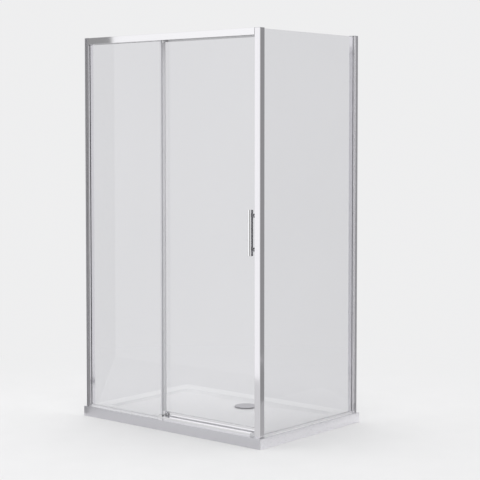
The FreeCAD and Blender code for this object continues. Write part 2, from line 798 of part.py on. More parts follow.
def stop_ends():
    """Left and right end of each stop block; the buffers sit between the blocks and the carriages."""
    gap = "(buffer_length + rest_gap)"
    left = f"({ROLLER_X['left']} - carriage_length / 2 - {DOOR_TRAVEL} - {gap})"
    right = f"({ROLLER_X['right']} + carriage_length / 2 + {gap})"
    return [(f"({left} - stop_length)", left), (right, f"({right} + stop_length)")]


def bead_sides(sign):
    """Near and far side of the bead that one row of wheels runs on."""
    middle = f"{DOOR_MIDDLE} {sign} bead_offset"
    return f"{middle} - bead_width / 2", f"{middle} + bead_width / 2"


def drill_for_screws(body, places):
    """Countersunk holes for screws in a top wall of the header."""
    shanks = [circle(a, b, "header_screw_radius") for a, b in places]
    heads = [circle(a, b, "header_screw_head_radius") for a, b in places]
    cut(body, "Z", shanks, f"{TOP} - profile_wall", TOP)
    cut(body, "Z", heads, f"{TOP} - header_screw_head", TOP)


def build_header():
    """Header of three profiles with the fixed pane's groove and two beaded tracks, and its fittings."""
    low = HEADER_FLOOR
    wall = "profile_wall"
    back = f"{DOOR_MIDDLE} + header_back_room"
    slot_near = f"{DOOR_MIDDLE} - slot_width / 2"
    slot_far = f"{DOOR_MIDDLE} + slot_width / 2"
    front_near, front_far = bead_sides("-")
    rear_near, rear_far = bead_sides("+")
    lip = f"{low} + {wall}"
    crown = BEAD_TOP
    roof = f"{low} + header_groove"
    ceiling = f"{TOP} - {wall}"
    box_far = f"{GROOVE_FAR} + {wall}"
    section = [
        (FACE, low),
        (GROOVE_NEAR, low),
        (GROOVE_NEAR, roof),
        (GROOVE_FAR, roof),
        (GROOVE_FAR, low),
        (slot_near, low),
        (slot_near, lip),
        (front_far, lip),
        (front_far, crown),
        (front_near, crown),
        (front_near, lip),
        (box_far, lip),
        (box_far, f"{ceiling} - {wall}"),
        (f"{box_far} + header_ledge", f"{ceiling} - {wall}"),
        (f"{box_far} + header_ledge", ceiling),
        (box_far, ceiling),
        (box_far, TOP),
        (FACE, TOP),
    ]
    chamber = [
        (f"{FACE} + {wall}", lip),
        (f"{GROOVE_NEAR} - {wall}", lip),
        (f"{GROOVE_NEAR} - {wall}", f"{roof} + {wall}"),
        (GROOVE_FAR, f"{roof} + {wall}"),
        (GROOVE_FAR, ceiling),
        (f"{FACE} + {wall}", ceiling),
    ]
    rail = new_body("header_rail", "front")
    pad(rail, "X", [section, chamber], HEADER_LEFT, HEADER_RIGHT)
    brackets, stops = header_screw_places()
    drill_for_screws(rail, brackets)
    soften(
        rail, "edge_radius",
        lambda edge, p: edge.Length > number("tray_width / 2")
        and near(p.y, FACE) and (near(p.z, low) or near(p.z, TOP)),
    )
    section = [
        (slot_far, low),
        (back, low),
        (back, ceiling),
        (f"{back} - {wall}", ceiling),
        (f"{back} - {wall}", lip),
        (rear_far, lip),
        (rear_far, crown),
        (rear_near, crown),
        (rear_near, lip),
        (slot_far, lip),
    ]
    track = new_body("rear_track_rail", "front")
    pad(track, "X", [section], HEADER_LEFT, HEADER_RIGHT)
    cover = new_body("header_cover", "front")
    pad(cover, "X", [rectangle(box_far, back, ceiling, TOP)], HEADER_LEFT, HEADER_RIGHT)
    drill_for_screws(cover, stops)

    slot = rectangle(GROOVE_NEAR, GROOVE_FAR, low, ceiling)
    plate = rectangle(FACE, back, low, TOP)
    window = rectangle(GROOVE_NEAR, GROOVE_FAR, BRACKET_LOW, ceiling)
    caps = new_body("header_end_caps", "front")
    pad(caps, "X", [plate], LEFT_FACE, HEADER_LEFT)
    cut(caps, "X", [slot], LEFT_FACE, HEADER_LEFT)
    pad(caps, "X", [plate], HEADER_RIGHT, POST_LEFT)
    cut(caps, "X", [window], HEADER_RIGHT, POST_LEFT)

    bars = new_body("header_brackets", "front")
    pad(bars, "X", [window], f"{LEFT_FACE} - bracket_reach_left", f"{HEADER_LEFT} + bracket_length")
    pad(bars, "X", [window], f"{HEADER_RIGHT} - bracket_length", f"{POST_LEFT} + bracket_reach_right")
    tight = [circle(a, b, "header_screw_radius") for a, b in brackets]
    depth = f"{TOP} - header_screw_length"
    cut(bars, "Z", tight, depth, ceiling)
    screws = new_body("header_screws", "front")
    pad(screws, "Z", tight, depth, f"{TOP} - header_screw_head")
    flat = [circle(a, b, "header_screw_head_radius") for a, b in brackets]
    pad(screws, "Z", flat, f"{TOP} - header_screw_head", TOP)

    blocks = new_body("track_stops", "front")
    near_side = f"{DOOR_MIDDLE} - carriage_width / 2"
    far_side = f"{DOOR_MIDDLE} + carriage_width / 2"
    for start, end in stop_ends():
        outline = rectangle(near_side, far_side, f"{BUFFER_HEIGHT} - stop_foot", ceiling)
        pad(blocks, "X", [outline], start, end)
    tight = [circle(a, b, "header_screw_radius") for a, b in stops]
    cut(blocks, "Z", tight, depth, ceiling)
    screws = new_body("stop_screws", "front")
    pad(screws, "Z", tight, depth, f"{TOP} - header_screw_head")
    flat = [circle(a, b, "header_screw_head_radius") for a, b in stops]
    pad(screws, "Z", flat, f"{TOP} - header_screw_head", TOP)
    buffers = new_body("stop_buffers", "front")
    face = circle(DOOR_MIDDLE, BUFFER_HEIGHT, "buffer_radius")
    left, right = stop_ends()
    pad(buffers, "X", [face], left[1], f"{left[1]} + buffer_length")
    pad(buffers, "X", [face], f"{right[0]} - buffer_length", right[0])


def build_panes():
    """Fixed pane in the front, side pane, and the seals and gaskets along their edges."""
    glass_low = "tray_height + glass_lift"
    fixed = new_body("fixed_glass", "front")
    pad(fixed, "Z", [rectangle(FIXED_LEFT, FIXED_RIGHT, GLASS_NEAR, GLASS_FAR)], glass_low, FIXED_TOP)
    trough = [
        (GROOVE_NEAR, "tray_height"),
        (GROOVE_FAR, "tray_height"),
        (GROOVE_FAR, "tray_height + seal_height"),
        (GLASS_FAR, "tray_height + seal_height"),
        (GLASS_FAR, glass_low),
        (GLASS_NEAR, glass_low),
        (GLASS_NEAR, "tray_height + seal_height"),
        (GROOVE_NEAR, "tray_height + seal_height"),
    ]
    seal = new_body("fixed_bottom_seal", "front")
    pad(seal, "X", [trough], LEFT_FACE, GUIDE_LEFT)
    lid_low = f"{HEADER_FLOOR} + gasket_recess"
    lid_top = f"{HEADER_FLOOR} + header_groove"
    lid = [
        (GROOVE_NEAR, lid_low),
        (GLASS_NEAR, lid_low),
        (GLASS_NEAR, FIXED_TOP),
        (GLASS_FAR, FIXED_TOP),
        (GLASS_FAR, lid_low),
        (GROOVE_FAR, lid_low),
        (GROOVE_FAR, lid_top),
        (GROOVE_NEAR, lid_top),
    ]
    gasket = new_body("header_gasket", "front")
    pad(gasket, "X", [lid], HEADER_LEFT, FIXED_RIGHT)
    edge = new_body("fixed_edge_seal", "front")
    wall = "edge_seal_wall"
    clip = [
        (f"{FIXED_RIGHT} - edge_seal_grip", f"{GLASS_NEAR} - {wall}"),
        (f"{FIXED_RIGHT} + {wall}", f"{GLASS_NEAR} - {wall}"),
        (f"{FIXED_RIGHT} + {wall}", f"{GLASS_FAR} + {wall}"),
        (f"{FIXED_RIGHT} - edge_seal_grip", f"{GLASS_FAR} + {wall}"),
        (f"{FIXED_RIGHT} - edge_seal_grip", GLASS_FAR),
        (FIXED_RIGHT, GLASS_FAR),
        (FIXED_RIGHT, GLASS_NEAR),
        (f"{FIXED_RIGHT} - edge_seal_grip", GLASS_NEAR),
    ]
    clip_low = "tray_height + guide_clamp_height + glass_lift + seal_end_gap"
    pad(edge, "Z", [clip], clip_low, HEADER_FLOOR)
    fin = rectangle(
        f"{FIXED_RIGHT} - {wall}", FIXED_RIGHT,
        f"{GLASS_FAR} + {wall}", f"{DOOR_FACE} - fin_gap",
    )
    pad(edge, "Z", [fin], FIN_LOW, FIN_HIGH)

    side = new_body("side_glass", "side")
    start = f"{POST_BACK} - post_groove + gasket_wall - tray_depth / 2"
    end = f"{REAR_FACE} + groove_depth - gasket_wall"
    pane = rectangle(start, end, GLASS_NEAR, GLASS_FAR)
    pad(side, "Z", [pane], glass_low, f"{TOP} - side_glass_top")
    seal = new_body("side_bottom_seal", "side")
    pad(seal, "X", [trough], f"{POST_BACK} - tray_depth / 2", REAR_FACE)
    gasket = new_body("side_post_gasket", "side")
    groove_floor = f"{POST_BACK} - post_groove - tray_depth / 2"
    mouth = f"{POST_BACK} - gasket_recess - tray_depth / 2"
    section = [
        (groove_floor, GROOVE_NEAR),
        (mouth, GROOVE_NEAR),
        (mouth, GLASS_NEAR),
        (start, GLASS_NEAR),
        (start, GLASS_FAR),
        (mouth, GLASS_FAR),
        (mouth, GROOVE_FAR),
        (groove_floor, GROOVE_FAR),
    ]
    pad(gasket, "Z", [section], "tray_height", f"{TOP} - side_glass_top")


def build_threshold_and_guide():
    """Low sill under the door with its end pieces, and the bottom guide at the fixed pane's corner."""
    sill_left = f"{FIXED_RIGHT} + threshold_inset"
    sill_right = f"{POST_LEFT} - threshold_cap_right"
    near_side = f"{FACE} + threshold_setback"
    top = "tray_height + threshold_height"
    back = f"({DOOR_MIDDLE} + threshold_cover)"
    wall = "threshold_wall"
    sill = new_body("threshold_rail", "front")
    section = [
        (near_side, "tray_height"),
        (back, "tray_height"),
        (back, top),
        (f"{near_side} + {wall}", top),
        (near_side, f"{top} - {wall}"),
    ]
    rib = f"({near_side} + {back}) / 2"
    chambers = [
        rectangle(f"{near_side} + {wall}", f"{rib} - {wall} / 2", f"tray_height + {wall}", f"{top} - {wall}"),
        rectangle(f"{rib} + {wall} / 2", f"{back} - {wall}", f"tray_height + {wall}", f"{top} - {wall}"),
    ]
    pad(sill, "X", [section] + chambers, sill_left, sill_right)
    ends = new_body("threshold_end_caps", "front")
    pad(ends, "X", [section], f"{sill_left} - threshold_cap_left", sill_left)
    pad(ends, "X", [section], sill_right, POST_LEFT)

    door_near = f"({DOOR_FACE} - door_profile_wall)"
    door_far = f"({DOOR_BACK} + door_profile_wall)"
    pad_near = f"({door_near} - guide_gap)"
    pad_far = f"({door_far} + guide_gap)"
    arm_near = f"({pad_near} - guide_pad_thickness)"
    arm_far = f"({pad_far} + guide_pad_thickness)"
    base = "tray_height + guide_base"
    clamp_top = "tray_height + glass_lift + guide_clamp_height"
    arm_top = "tray_height + guide_upright"
    section = [
        (f"{GLASS_NEAR} - guide_clamp_wall", "tray_height"),
        (f"{arm_far} + guide_upright_wall", "tray_height"),
        (f"{arm_far} + guide_upright_wall", arm_top),
        (arm_far, arm_top),
        (arm_far, base),
        (arm_near, base),
        (arm_near, arm_top),
        (f"{arm_near} - guide_upright_wall", arm_top),
        (f"{arm_near} - guide_upright_wall", base),
        (f"{GLASS_FAR} + guide_clamp_wall", base),
        (f"{GLASS_FAR} + guide_clamp_wall", clamp_top),
        (GLASS_FAR, clamp_top),
        (GLASS_FAR, "tray_height + glass_lift"),
        (GLASS_NEAR, "tray_height + glass_lift"),
        (GLASS_NEAR, clamp_top),
        (f"{GLASS_NEAR} - guide_clamp_wall", clamp_top),
    ]
    bracket = new_body("guide_bracket", "front")
    pad(bracket, "X", [section], GUIDE_LEFT, GUIDE_RIGHT)
    cut(bracket, "Z", guide_screw_circles("guide_screw_radius"), "tray_height", base)
    pads = new_body("guide_pads", "front")
    low = "(tray_height + guide_pad_rise)"
    high = f"{low} + guide_pad_height"
    blocks = [rectangle(arm_near, pad_near, low, high), rectangle(pad_far, arm_far, low, high)]
    pad(pads, "X", blocks, f"{GUIDE_LEFT} + guide_pad_inset", f"{GUIDE_RIGHT} - guide_pad_inset")
    screws = new_body("guide_screws", "front")
    shank_end = "tray_height + guide_base - guide_screw_length"
    pad(screws, "Z", guide_screw_circles("guide_screw_radius"), shank_end, base)
    pad(screws, "Z", guide_screw_circles("guide_screw_head_radius"), base, f"{base} + guide_screw_head")


def build_door():
    """Door glass with its edge profiles, seals and the pair of handles."""
    near_side = f"{DOOR_FACE} - door_profile_wall"
    far_side = f"{DOOR_BACK} + door_profile_wall"
    bosses = [f"{HANDLE_BOTTOM} + boss_inset", f"{HANDLE_BOTTOM} + handle_length - boss_inset"]
    glass = new_body("door_glass", "front")
    pane = rectangle(DOOR_LEFT, DOOR_RIGHT, DOOR_FACE, DOOR_BACK)
    pad(glass, "Z", [pane], DOOR_GLASS_BOTTOM, DOOR_GLASS_TOP)
    cut(glass, "Y", [circle(HANDLE_X, z, "glass_hole_radius") for z in bosses], DOOR_FACE, DOOR_BACK)

    top = new_body("door_top_profile", "front")
    low = DOOR_PROFILE_LOW
    section = [
        (near_side, low),
        (DOOR_FACE, low),
        (DOOR_FACE, DOOR_GLASS_TOP),
        (DOOR_BACK, DOOR_GLASS_TOP),
        (DOOR_BACK, low),
        (far_side, low),
        (far_side, DOOR_PROFILE_TOP),
        (near_side, DOOR_PROFILE_TOP),
    ]
    pad(top, "X", [section], DOOR_LEFT, DOOR_RIGHT)
    screws = carriage_screw_circles("carriage_screw_radius")
    cut(top, "Z", screws, f"{DOOR_PROFILE_TOP} - carriage_screw_depth", DOOR_PROFILE_TOP)

    bottom = new_body("door_bottom_profile", "front")
    high = DOOR_BAND_TOP
    section = [
        (near_side, DOOR_PROFILE_BOTTOM),
        (far_side, DOOR_PROFILE_BOTTOM),
        (far_side, high),
        (DOOR_BACK, high),
        (DOOR_BACK, DOOR_GLASS_BOTTOM),
        (DOOR_FACE, DOOR_GLASS_BOTTOM),
        (DOOR_FACE, high),
        (near_side, high),
    ]
    pad(bottom, "X", [section], DOOR_LEFT, DOOR_RIGHT)
    wiper = new_body("door_wiper_seal", "front")
    sill = "tray_height + threshold_height + wiper_gap"
    section = [
        (f"{DOOR_MIDDLE} - wiper_tip / 2", sill),
        (f"{DOOR_MIDDLE} + wiper_tip / 2", sill),
        (f"{DOOR_MIDDLE} + wiper_root / 2", DOOR_PROFILE_BOTTOM),
        (f"{DOOR_MIDDLE} - wiper_root / 2", DOOR_PROFILE_BOTTOM),
    ]
    pad(wiper, "X", [section], DOOR_LEFT, DOOR_RIGHT)

    seal = new_body("door_rear_seal", "front")
    wall = "edge_seal_wall"
    clip = [
        (f"{DOOR_LEFT} + edge_seal_grip", f"{DOOR_FACE} - {wall}"),
        (f"{DOOR_LEFT} - {wall}", f"{DOOR_FACE} - {wall}"),
        (f"{DOOR_LEFT} - {wall}", f"{DOOR_BACK} + {wall}"),
        (f"{DOOR_LEFT} + edge_seal_grip", f"{DOOR_BACK} + {wall}"),
        (f"{DOOR_LEFT} + edge_seal_grip", DOOR_BACK),
        (DOOR_LEFT, DOOR_BACK),
        (DOOR_LEFT, DOOR_FACE),
        (f"{DOOR_LEFT} + edge_seal_grip", DOOR_FACE),
    ]
    seal_low = f"{high} + seal_end_gap"
    seal_top = f"{low} - seal_end_gap"
    pad(seal, "Z", [clip], seal_low, seal_top)
    fin = rectangle(f"{DOOR_LEFT} - {wall}", DOOR_LEFT, f"{GLASS_FAR} + fin_gap", f"{DOOR_FACE} - {wall}")
    pad(seal, "Z", [fin], FIN_LOW, FIN_HIGH)
    magnet = new_body("door_magnetic_seal", "front")
    section = [
        (f"{DOOR_RIGHT} - magnet_leg", f"{DOOR_FACE} - magnet_wall"),
        (f"{DOOR_RIGHT} + magnet_nose", f"{DOOR_FACE} - magnet_wall"),
        (f"{DOOR_RIGHT} + magnet_nose", f"{DOOR_BACK} + magnet_wall"),
        (f"{DOOR_RIGHT} - magnet_leg", f"{DOOR_BACK} + magnet_wall"),
        (f"{DOOR_RIGHT} - magnet_leg", DOOR_BACK),
        (DOOR_RIGHT, DOOR_BACK),
        (DOOR_RIGHT, DOOR_FACE),
        (f"{DOOR_RIGHT} - magnet_leg", DOOR_FACE),
    ]
    pad(magnet, "Z", [section], seal_low, seal_top)

    outer_near = f"({DOOR_FACE} - washer_thickness - handle_standoff - handle_depth)"
    outer_far = f"({DOOR_FACE} - washer_thickness - handle_standoff)"
    inner_near = f"({DOOR_BACK} + washer_thickness + handle_standoff)"
    inner_far = f"({DOOR_BACK} + washer_thickness + handle_standoff + handle_depth)"
    build_handle("outer_handle", outer_near, outer_far, outer_far, f"{DOOR_FACE} - washer_thickness", bosses)
    build_handle("inner_handle", inner_near, inner_far, f"{DOOR_BACK} + washer_thickness", inner_near, bosses)
    studs = new_body("handle_studs", "front")
    rods = [circle(HANDLE_X, z, "stud_radius") for z in bosses]
    pad(studs, "Y", rods, f"{outer_far} - stud_embed", f"{inner_near} + stud_embed")
    washers = new_body("handle_washers", "front")
    rings = [circle(HANDLE_X, z, "washer_radius") for z in bosses]
    rings += [circle(HANDLE_X, z, "stud_radius") for z in bosses]
    pad(washers, "Y", rings, f"{DOOR_FACE} - washer_thickness", DOOR_FACE)
    pad(washers, "Y", rings, DOOR_BACK, f"{DOOR_BACK} + washer_thickness")


def build_handle(label, near_side, far_side, boss_near, boss_far, bosses):
    """One pull: an upright bar with a rounded section on two round feet."""
    body = new_body(label, "front")
    bar = rounded(
        f"{HANDLE_X} - handle_width / 2", f"{HANDLE_X} + handle_width / 2",
        near_side, far_side, "handle_radius",
    )
    bottom, top = HANDLE_BOTTOM, f"{HANDLE_BOTTOM} + handle_length"
    pad(body, "Z", [bar], bottom, top)
    soften(body, "handle_end_radius", lambda edge, p: near(p.z, bottom) or near(p.z, top))
    # The feet run a little into the bar so that they join its rounded back.
    low, high = boss_near, boss_far
    if number(boss_far) > number(far_side):
        low = f"{boss_near} - boss_sunk"
    else:
        high = f"{boss_far} + boss_sunk"
    pad(body, "Y", [circle(HANDLE_X, z, "boss_radius") for z in bosses], low, high)
    holes = [circle(HANDLE_X, z, "stud_radius") for z in bosses]
    if number(boss_far) > number(far_side):
        cut(body, "Y", holes, f"{far_side} - stud_embed", boss_far)
    else:
        cut(body, "Y", holes, boss_near, f"{near_side} + stud_embed")


def carriage_screw_circles(radius, sides=("left", "right")):
    """Two screws on each roller carriage."""
    found = []
    for side in sides:
        for sign in ("-", "+"):
            found.append(circle(f"{ROLLER_X[side]} {sign} carriage_screw_offset", DOOR_MIDDLE, radius))
    return found


def build_rollers():
    """Two carriages on the door's top rail, each with one axle and a wheel on either side."""
    near_side = f"{DOOR_MIDDLE} - carriage_width / 2"
    far_side = f"{DOOR_MIDDLE} + carriage_width / 2"
    low = DOOR_PROFILE_TOP
    high = f"{DOOR_PROFILE_TOP} + carriage_height"
    wheel_near = f"({DOOR_MIDDLE} - bead_offset)"
    wheel_far = f"({DOOR_MIDDLE} + bead_offset)"
    half = "wheel_width / 2"
    for side in ("left", "right"):
        centre = ROLLER_X[side]
        block = new_body(f"{side}_carriage", "front")
        outline = rectangle(
            f"{centre} - carriage_length / 2", f"{centre} + carriage_length / 2", low, high,
        )
        pad(block, "Y", [outline], near_side, far_side)
        boss = [circle(centre, AXLE_HEIGHT, "carriage_boss_radius")]
        pad(block, "Y", boss, f"{near_side} - carriage_boss_length", near_side)
        pad(block, "Y", boss, far_side, f"{far_side} + carriage_boss_length")
        cut(
            block, "Y", [circle(centre, AXLE_HEIGHT, "axle_radius")],
            f"{near_side} - carriage_boss_length", f"{far_side} + carriage_boss_length",
        )
        cut(block, "Z", carriage_screw_circles("carriage_screw_radius", [side]), low, high)

        for kind, inner, outer in (
            ("wheels", "bearing_radius", "wheel_flange_radius"),
            ("bearings", "axle_radius + bearing_fit", "bearing_radius"),
        ):
            body = new_body(f"{side}_roller_{kind}", "front")
            body.setExpression("Placement.Base.x", bound(centre))
            body.setExpression("Placement.Base.z", bound(AXLE_HEIGHT))
            rings = [roller_ring(place, inner, outer, kind) for place in (wheel_near, wheel_far)]
            turn(body, "Z", rings)

    axles = new_body("roller_axles", "front")
    centres = [ROLLER_X["left"], ROLLER_X["right"]]
    start = f"{wheel_near} - {half} - wheel_side_gap"
    stop = f"{wheel_far} + {half} + wheel_side_gap"
    pad(axles, "Y", [circle(x, AXLE_HEIGHT, "axle_radius") for x in centres], start, stop)
    heads = [circle(x, AXLE_HEIGHT, "axle_head_radius") for x in centres]
    pad(axles, "Y", heads, f"{start} - axle_head", start)
    pad(axles, "Y", heads, stop, f"{stop} + axle_head")
    screws = new_body("carriage_screws", "front")
    shank_end = f"{DOOR_PROFILE_TOP} - carriage_screw_depth"
    pad(screws, "Z", carriage_screw_circles("carriage_screw_radius"), shank_end, high)
    heads = carriage_screw_circles("carriage_screw_head_radius")
    pad(screws, "Z", heads, high, f"{high} + carriage_screw_head")


def roller_ring(place, inner, outer, kind):
    """Section of one wheel, grooved to run on its bead, or of one plain bearing."""
    half = "wheel_width / 2"
    low, high = f"{place} - {half}", f"{place} + {half}"
    if kind == "bearings":
        return rectangle(inner, outer, low, high)
    groove = "wheel_groove_width / 2"
    return [
        (inner, low),
        (outer, low),
        (outer, f"{place} - {groove}"),
        ("wheel_tread_radius", f"{place} - {groove}"),
        ("wheel_tread_radius", f"{place} + {groove}"),
        (outer, f"{place} + {groove}"),
        (outer, high),
        (inner, high),
    ]


def build():
    """Build every sub-part of the enclosure."""
    build_tray()
    build_fascias()
    build_waste()
    wall_set("left", "front", LEFT_WALL, "+")
    wall_set("rear", "side", REAR_WALL, "-")
    build_post()
    build_header()
    build_panes()
    build_threshold_and_guide()
    build_door()
    build_rollers()


def check_features():
    """Stop on a feature in a wrong state, and on a cut that takes nothing away."""
    for item in doc.Objects:
        if "Invalid" in item.State or "Error" in item.State:
            raise RuntimeError(f"{item.Label} is in state {item.State}")
    for body in doc.findObjects("PartDesign::Body"):
        before = 0.0
        for feature in body.Group:
            if feature.isDerivedFrom("Sketcher::SketchObject"):
                continue
            volume = feature.Shape.Volume
            if feature.isDerivedFrom("PartDesign::Pocket") and volume > before - 0.01:
                raise RuntimeError(f"{feature.Label} cuts nothing")
            if feature.isDerivedFrom("PartDesign::Pad") and volume < before + 0.01:
                raise RuntimeError(f"{feature.Label} adds nothing")
            before = volume


def export():
    """Write one file for each sub-part."""
    for body in doc.findObjects("PartDesign::Body"):
        shape = body.Shape
        if shape.isNull() or not shape.isValid():
            raise RuntimeError(f"{body.Label} has no valid shape")
    for body in doc.findObjects("PartDesign::Body"):
        shape = body.Shape
        shape.exportStep(f"parts/{body.Label}.step")
        box = shape.BoundBox
        print(
            f"{body.Label}: {len(shape.Solids)} solids,"
            f" x {box.XMin:.1f} {box.XMax:.1f},"
            f" y {box.YMin:.1f} {box.YMax:.1f},"
            f" z {box.ZMin:.1f} {box.ZMax:.1f}"
        )


fill_sheet()
build()
doc.recompute()
check_features()
export()
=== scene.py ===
"""Looks of a corner shower enclosure: finishes, rounded copies of its profiles, glass and studio."""
import json
import logging
import math
from dataclasses import dataclass, field
from enum import Enum
from typing import Callable, Iterable, Optional

import bmesh
import bpy
from mathutils import Euler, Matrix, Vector

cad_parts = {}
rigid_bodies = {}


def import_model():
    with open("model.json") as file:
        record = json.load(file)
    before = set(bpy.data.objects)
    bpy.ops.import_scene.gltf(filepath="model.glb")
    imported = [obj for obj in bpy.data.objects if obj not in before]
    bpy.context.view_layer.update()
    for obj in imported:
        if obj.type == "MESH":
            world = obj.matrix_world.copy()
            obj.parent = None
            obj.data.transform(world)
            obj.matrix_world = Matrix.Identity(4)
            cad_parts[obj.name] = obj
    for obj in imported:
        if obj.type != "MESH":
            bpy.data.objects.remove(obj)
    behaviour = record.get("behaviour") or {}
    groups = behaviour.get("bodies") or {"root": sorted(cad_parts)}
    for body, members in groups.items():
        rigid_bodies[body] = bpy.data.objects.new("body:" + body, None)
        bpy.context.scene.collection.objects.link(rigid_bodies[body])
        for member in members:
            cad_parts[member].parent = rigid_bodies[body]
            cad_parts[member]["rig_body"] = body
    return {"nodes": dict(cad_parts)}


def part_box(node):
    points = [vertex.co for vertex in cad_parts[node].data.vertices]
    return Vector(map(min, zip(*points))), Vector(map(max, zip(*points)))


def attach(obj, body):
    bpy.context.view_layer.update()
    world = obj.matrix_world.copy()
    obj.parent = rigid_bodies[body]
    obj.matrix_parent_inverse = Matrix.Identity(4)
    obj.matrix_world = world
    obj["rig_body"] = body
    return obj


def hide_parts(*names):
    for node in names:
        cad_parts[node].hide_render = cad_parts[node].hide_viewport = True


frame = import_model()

LOG = logging.getLogger("enclosure")
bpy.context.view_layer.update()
Colour = tuple[float, float, float]
Place = tuple[float, float, float]
Spot = tuple[float, float]

MM = 0.001
MERGE_DISTANCE = 0.002 * MM
# Angles in degrees: faces within the first one are one flat, an edge above the others is hard.
FLAT_ANGLE = 0.5
HARD_ANGLE = 30.0
FACETED_ANGLE = 40.0
ROUND_PROFILE = 0.5
FLATS_WEIGHT = 100
MIDDLE_RANGE = (0.3, 0.7)


class Grain(Enum):
    """Direction in which a drawn profile's fine lines run."""

    ALONG_X = (0.04, 1.0, 1.0)
    ALONG_Y = (1.0, 0.04, 1.0)
    ALONG_Z = (1.0, 1.0, 0.04)


class Facing(Enum):
    """Direction in which a screw's head looks."""

    UP = (0.0, 0.0, 1.0)
    INWARD_Y = (0.0, 1.0, 0.0)
    INWARD_X = (-1.0, 0.0, 0.0)


# Shared shader groups


def new_group(name: str, inputs: dict[str, float], outputs: Iterable[str]) -> bpy.types.NodeTree:
    """Make an empty shader group with named float sockets.

    Args:
        name: Name of the group.
        inputs: Input names with their default values.
        outputs: Output names.

    Returns:
        The group, with its input and output nodes in place.
    """
    group = bpy.data.node_groups.new(name, "ShaderNodeTree")
    for label, value in inputs.items():
        socket = group.interface.new_socket(label, in_out="INPUT", socket_type="NodeSocketFloat")
        socket.default_value = value
    for label in outputs:
        group.interface.new_socket(label, in_out="OUTPUT", socket_type="NodeSocketFloat")
    group.nodes.new("NodeGroupInput").name = "In"
    group.nodes.new("NodeGroupOutput").name = "Out"
    return group


def maths(tree: bpy.types.NodeTree, kind: str, *values: object) -> bpy.types.NodeSocket:
    """Add a maths node fed by numbers or sockets.

    Args:
        tree: Tree that gets the node.
        kind: Operation name.
        values: Numbers or sockets, in input order.

    Returns:
        The node's output.
    """
    node = tree.nodes.new("ShaderNodeMath")
    node.operation = kind
    for slot, value in zip(node.inputs, values):
        if isinstance(value, (int, float)):
            slot.default_value = value
        else:
            tree.links.new(value, slot)
    return node.outputs[0]


def add_noise(
    tree: bpy.types.NodeTree, where: bpy.types.NodeSocket, scale: object, detail: float
) -> bpy.types.NodeSocket:
    """Add a noise texture.

    Args:
        tree: Tree that gets the node.
        where: Coordinates of the noise.
        scale: Number or socket.
        detail: Layers of finer noise.

    Returns:
        The noise's value.
    """
    node = tree.nodes.new("ShaderNodeTexNoise")
    node.inputs["Detail"].default_value = detail
    tree.links.new(where, node.inputs["Vector"])
    if isinstance(scale, float):
        node.inputs["Scale"].default_value = scale
    else:
        tree.links.new(scale, node.inputs["Scale"])
    return node.outputs[0]


def drawn_lines_group() -> bpy.types.NodeTree:
    """Make the fine lines of a drawn profile, with slow bands of tone and a few handling marks.

    Returns:
        The group.
    """
    band_scale, mark_scale = 7.0, 26.0
    mark_level, mark_softness = 0.62, 0.05
    group = new_group(
        "drawn_lines",
        {"Line Scale X": 1.0, "Line Scale Y": 1.0, "Line Scale Z": 1.0, "Density": 900.0},
        ("Lines", "Bands", "Marks"),
    )
    links = group.links
    inlet, outlet = group.nodes["In"], group.nodes["Out"]
    place = group.nodes.new("ShaderNodeTexCoord")
    stretch = group.nodes.new("ShaderNodeCombineXYZ")
    for axis in range(3):
        links.new(inlet.outputs[axis], stretch.inputs[axis])
    scaled = group.nodes.new("ShaderNodeVectorMath")
    scaled.operation = "MULTIPLY"
    links.new(place.outputs["Object"], scaled.inputs[0])
    links.new(stretch.outputs[0], scaled.inputs[1])
    lines = add_noise(group, scaled.outputs[0], inlet.outputs["Density"], 3.0)
    bands = add_noise(group, scaled.outputs[0], band_scale, 1.0)
    marks = add_noise(group, place.outputs["Object"], mark_scale, 4.0)
    above = maths(group, "SUBTRACT", marks, mark_level)
    few = maths(group, "SMOOTH_MAX", above, 0.0, mark_softness)
    links.new(lines, outlet.inputs["Lines"])
    links.new(bands, outlet.inputs["Bands"])
    links.new(few, outlet.inputs["Marks"])
    return group


def moulded_group() -> bpy.types.NodeTree:
    """Make the fine texture of moulded or sprayed surfaces, with a slow change of tone.

    Returns:
        The group.
    """
    group = new_group("moulded", {"Fine Scale": 600.0, "Slow Scale": 5.0}, ("Fine", "Slow"))
    inlet, outlet = group.nodes["In"], group.nodes["Out"]
    place = group.nodes.new("ShaderNodeTexCoord")
    for label, detail in (("Fine", 3.0), ("Slow", 1.0)):
        noise = add_noise(group, place.outputs["Object"], inlet.outputs[f"{label} Scale"], detail)
        group.links.new(noise, outlet.inputs[label])
    return group


DRAWN_LINES = drawn_lines_group()
MOULDED = moulded_group()


def start_material(name: str) -> tuple[bpy.types.Material, bpy.types.ShaderNode, bpy.types.NodeTree]:
    """Make a node material that holds one Principled shader.

    Args:
        name: Material name.

    Returns:
        The material, its shader and its tree.
    """
    material = bpy.data.materials.new(name)
    material.use_nodes = True
    tree = material.node_tree
    return material, tree.nodes["Principled BSDF"], tree


def place_group(
    tree: bpy.types.NodeTree, group: bpy.types.NodeTree, **values: float
) -> bpy.types.ShaderNode:
    """Put a shared group into a material.

    Args:
        tree: The material's tree.
        group: The shared group.
        values: Input values, with spaces in names written as underscores.

    Returns:
        The group node.
    """
    node = tree.nodes.new("ShaderNodeGroup")
    node.node_tree = group
    for label, value in values.items():
        node.inputs[label.replace("_", " ")].default_value = value
    return node


def toned(colour: Colour, share: float) -> Colour:
    """Return a colour times a share, with each part at most 1."""
    return tuple(min(1.0, part * share) for part in colour)


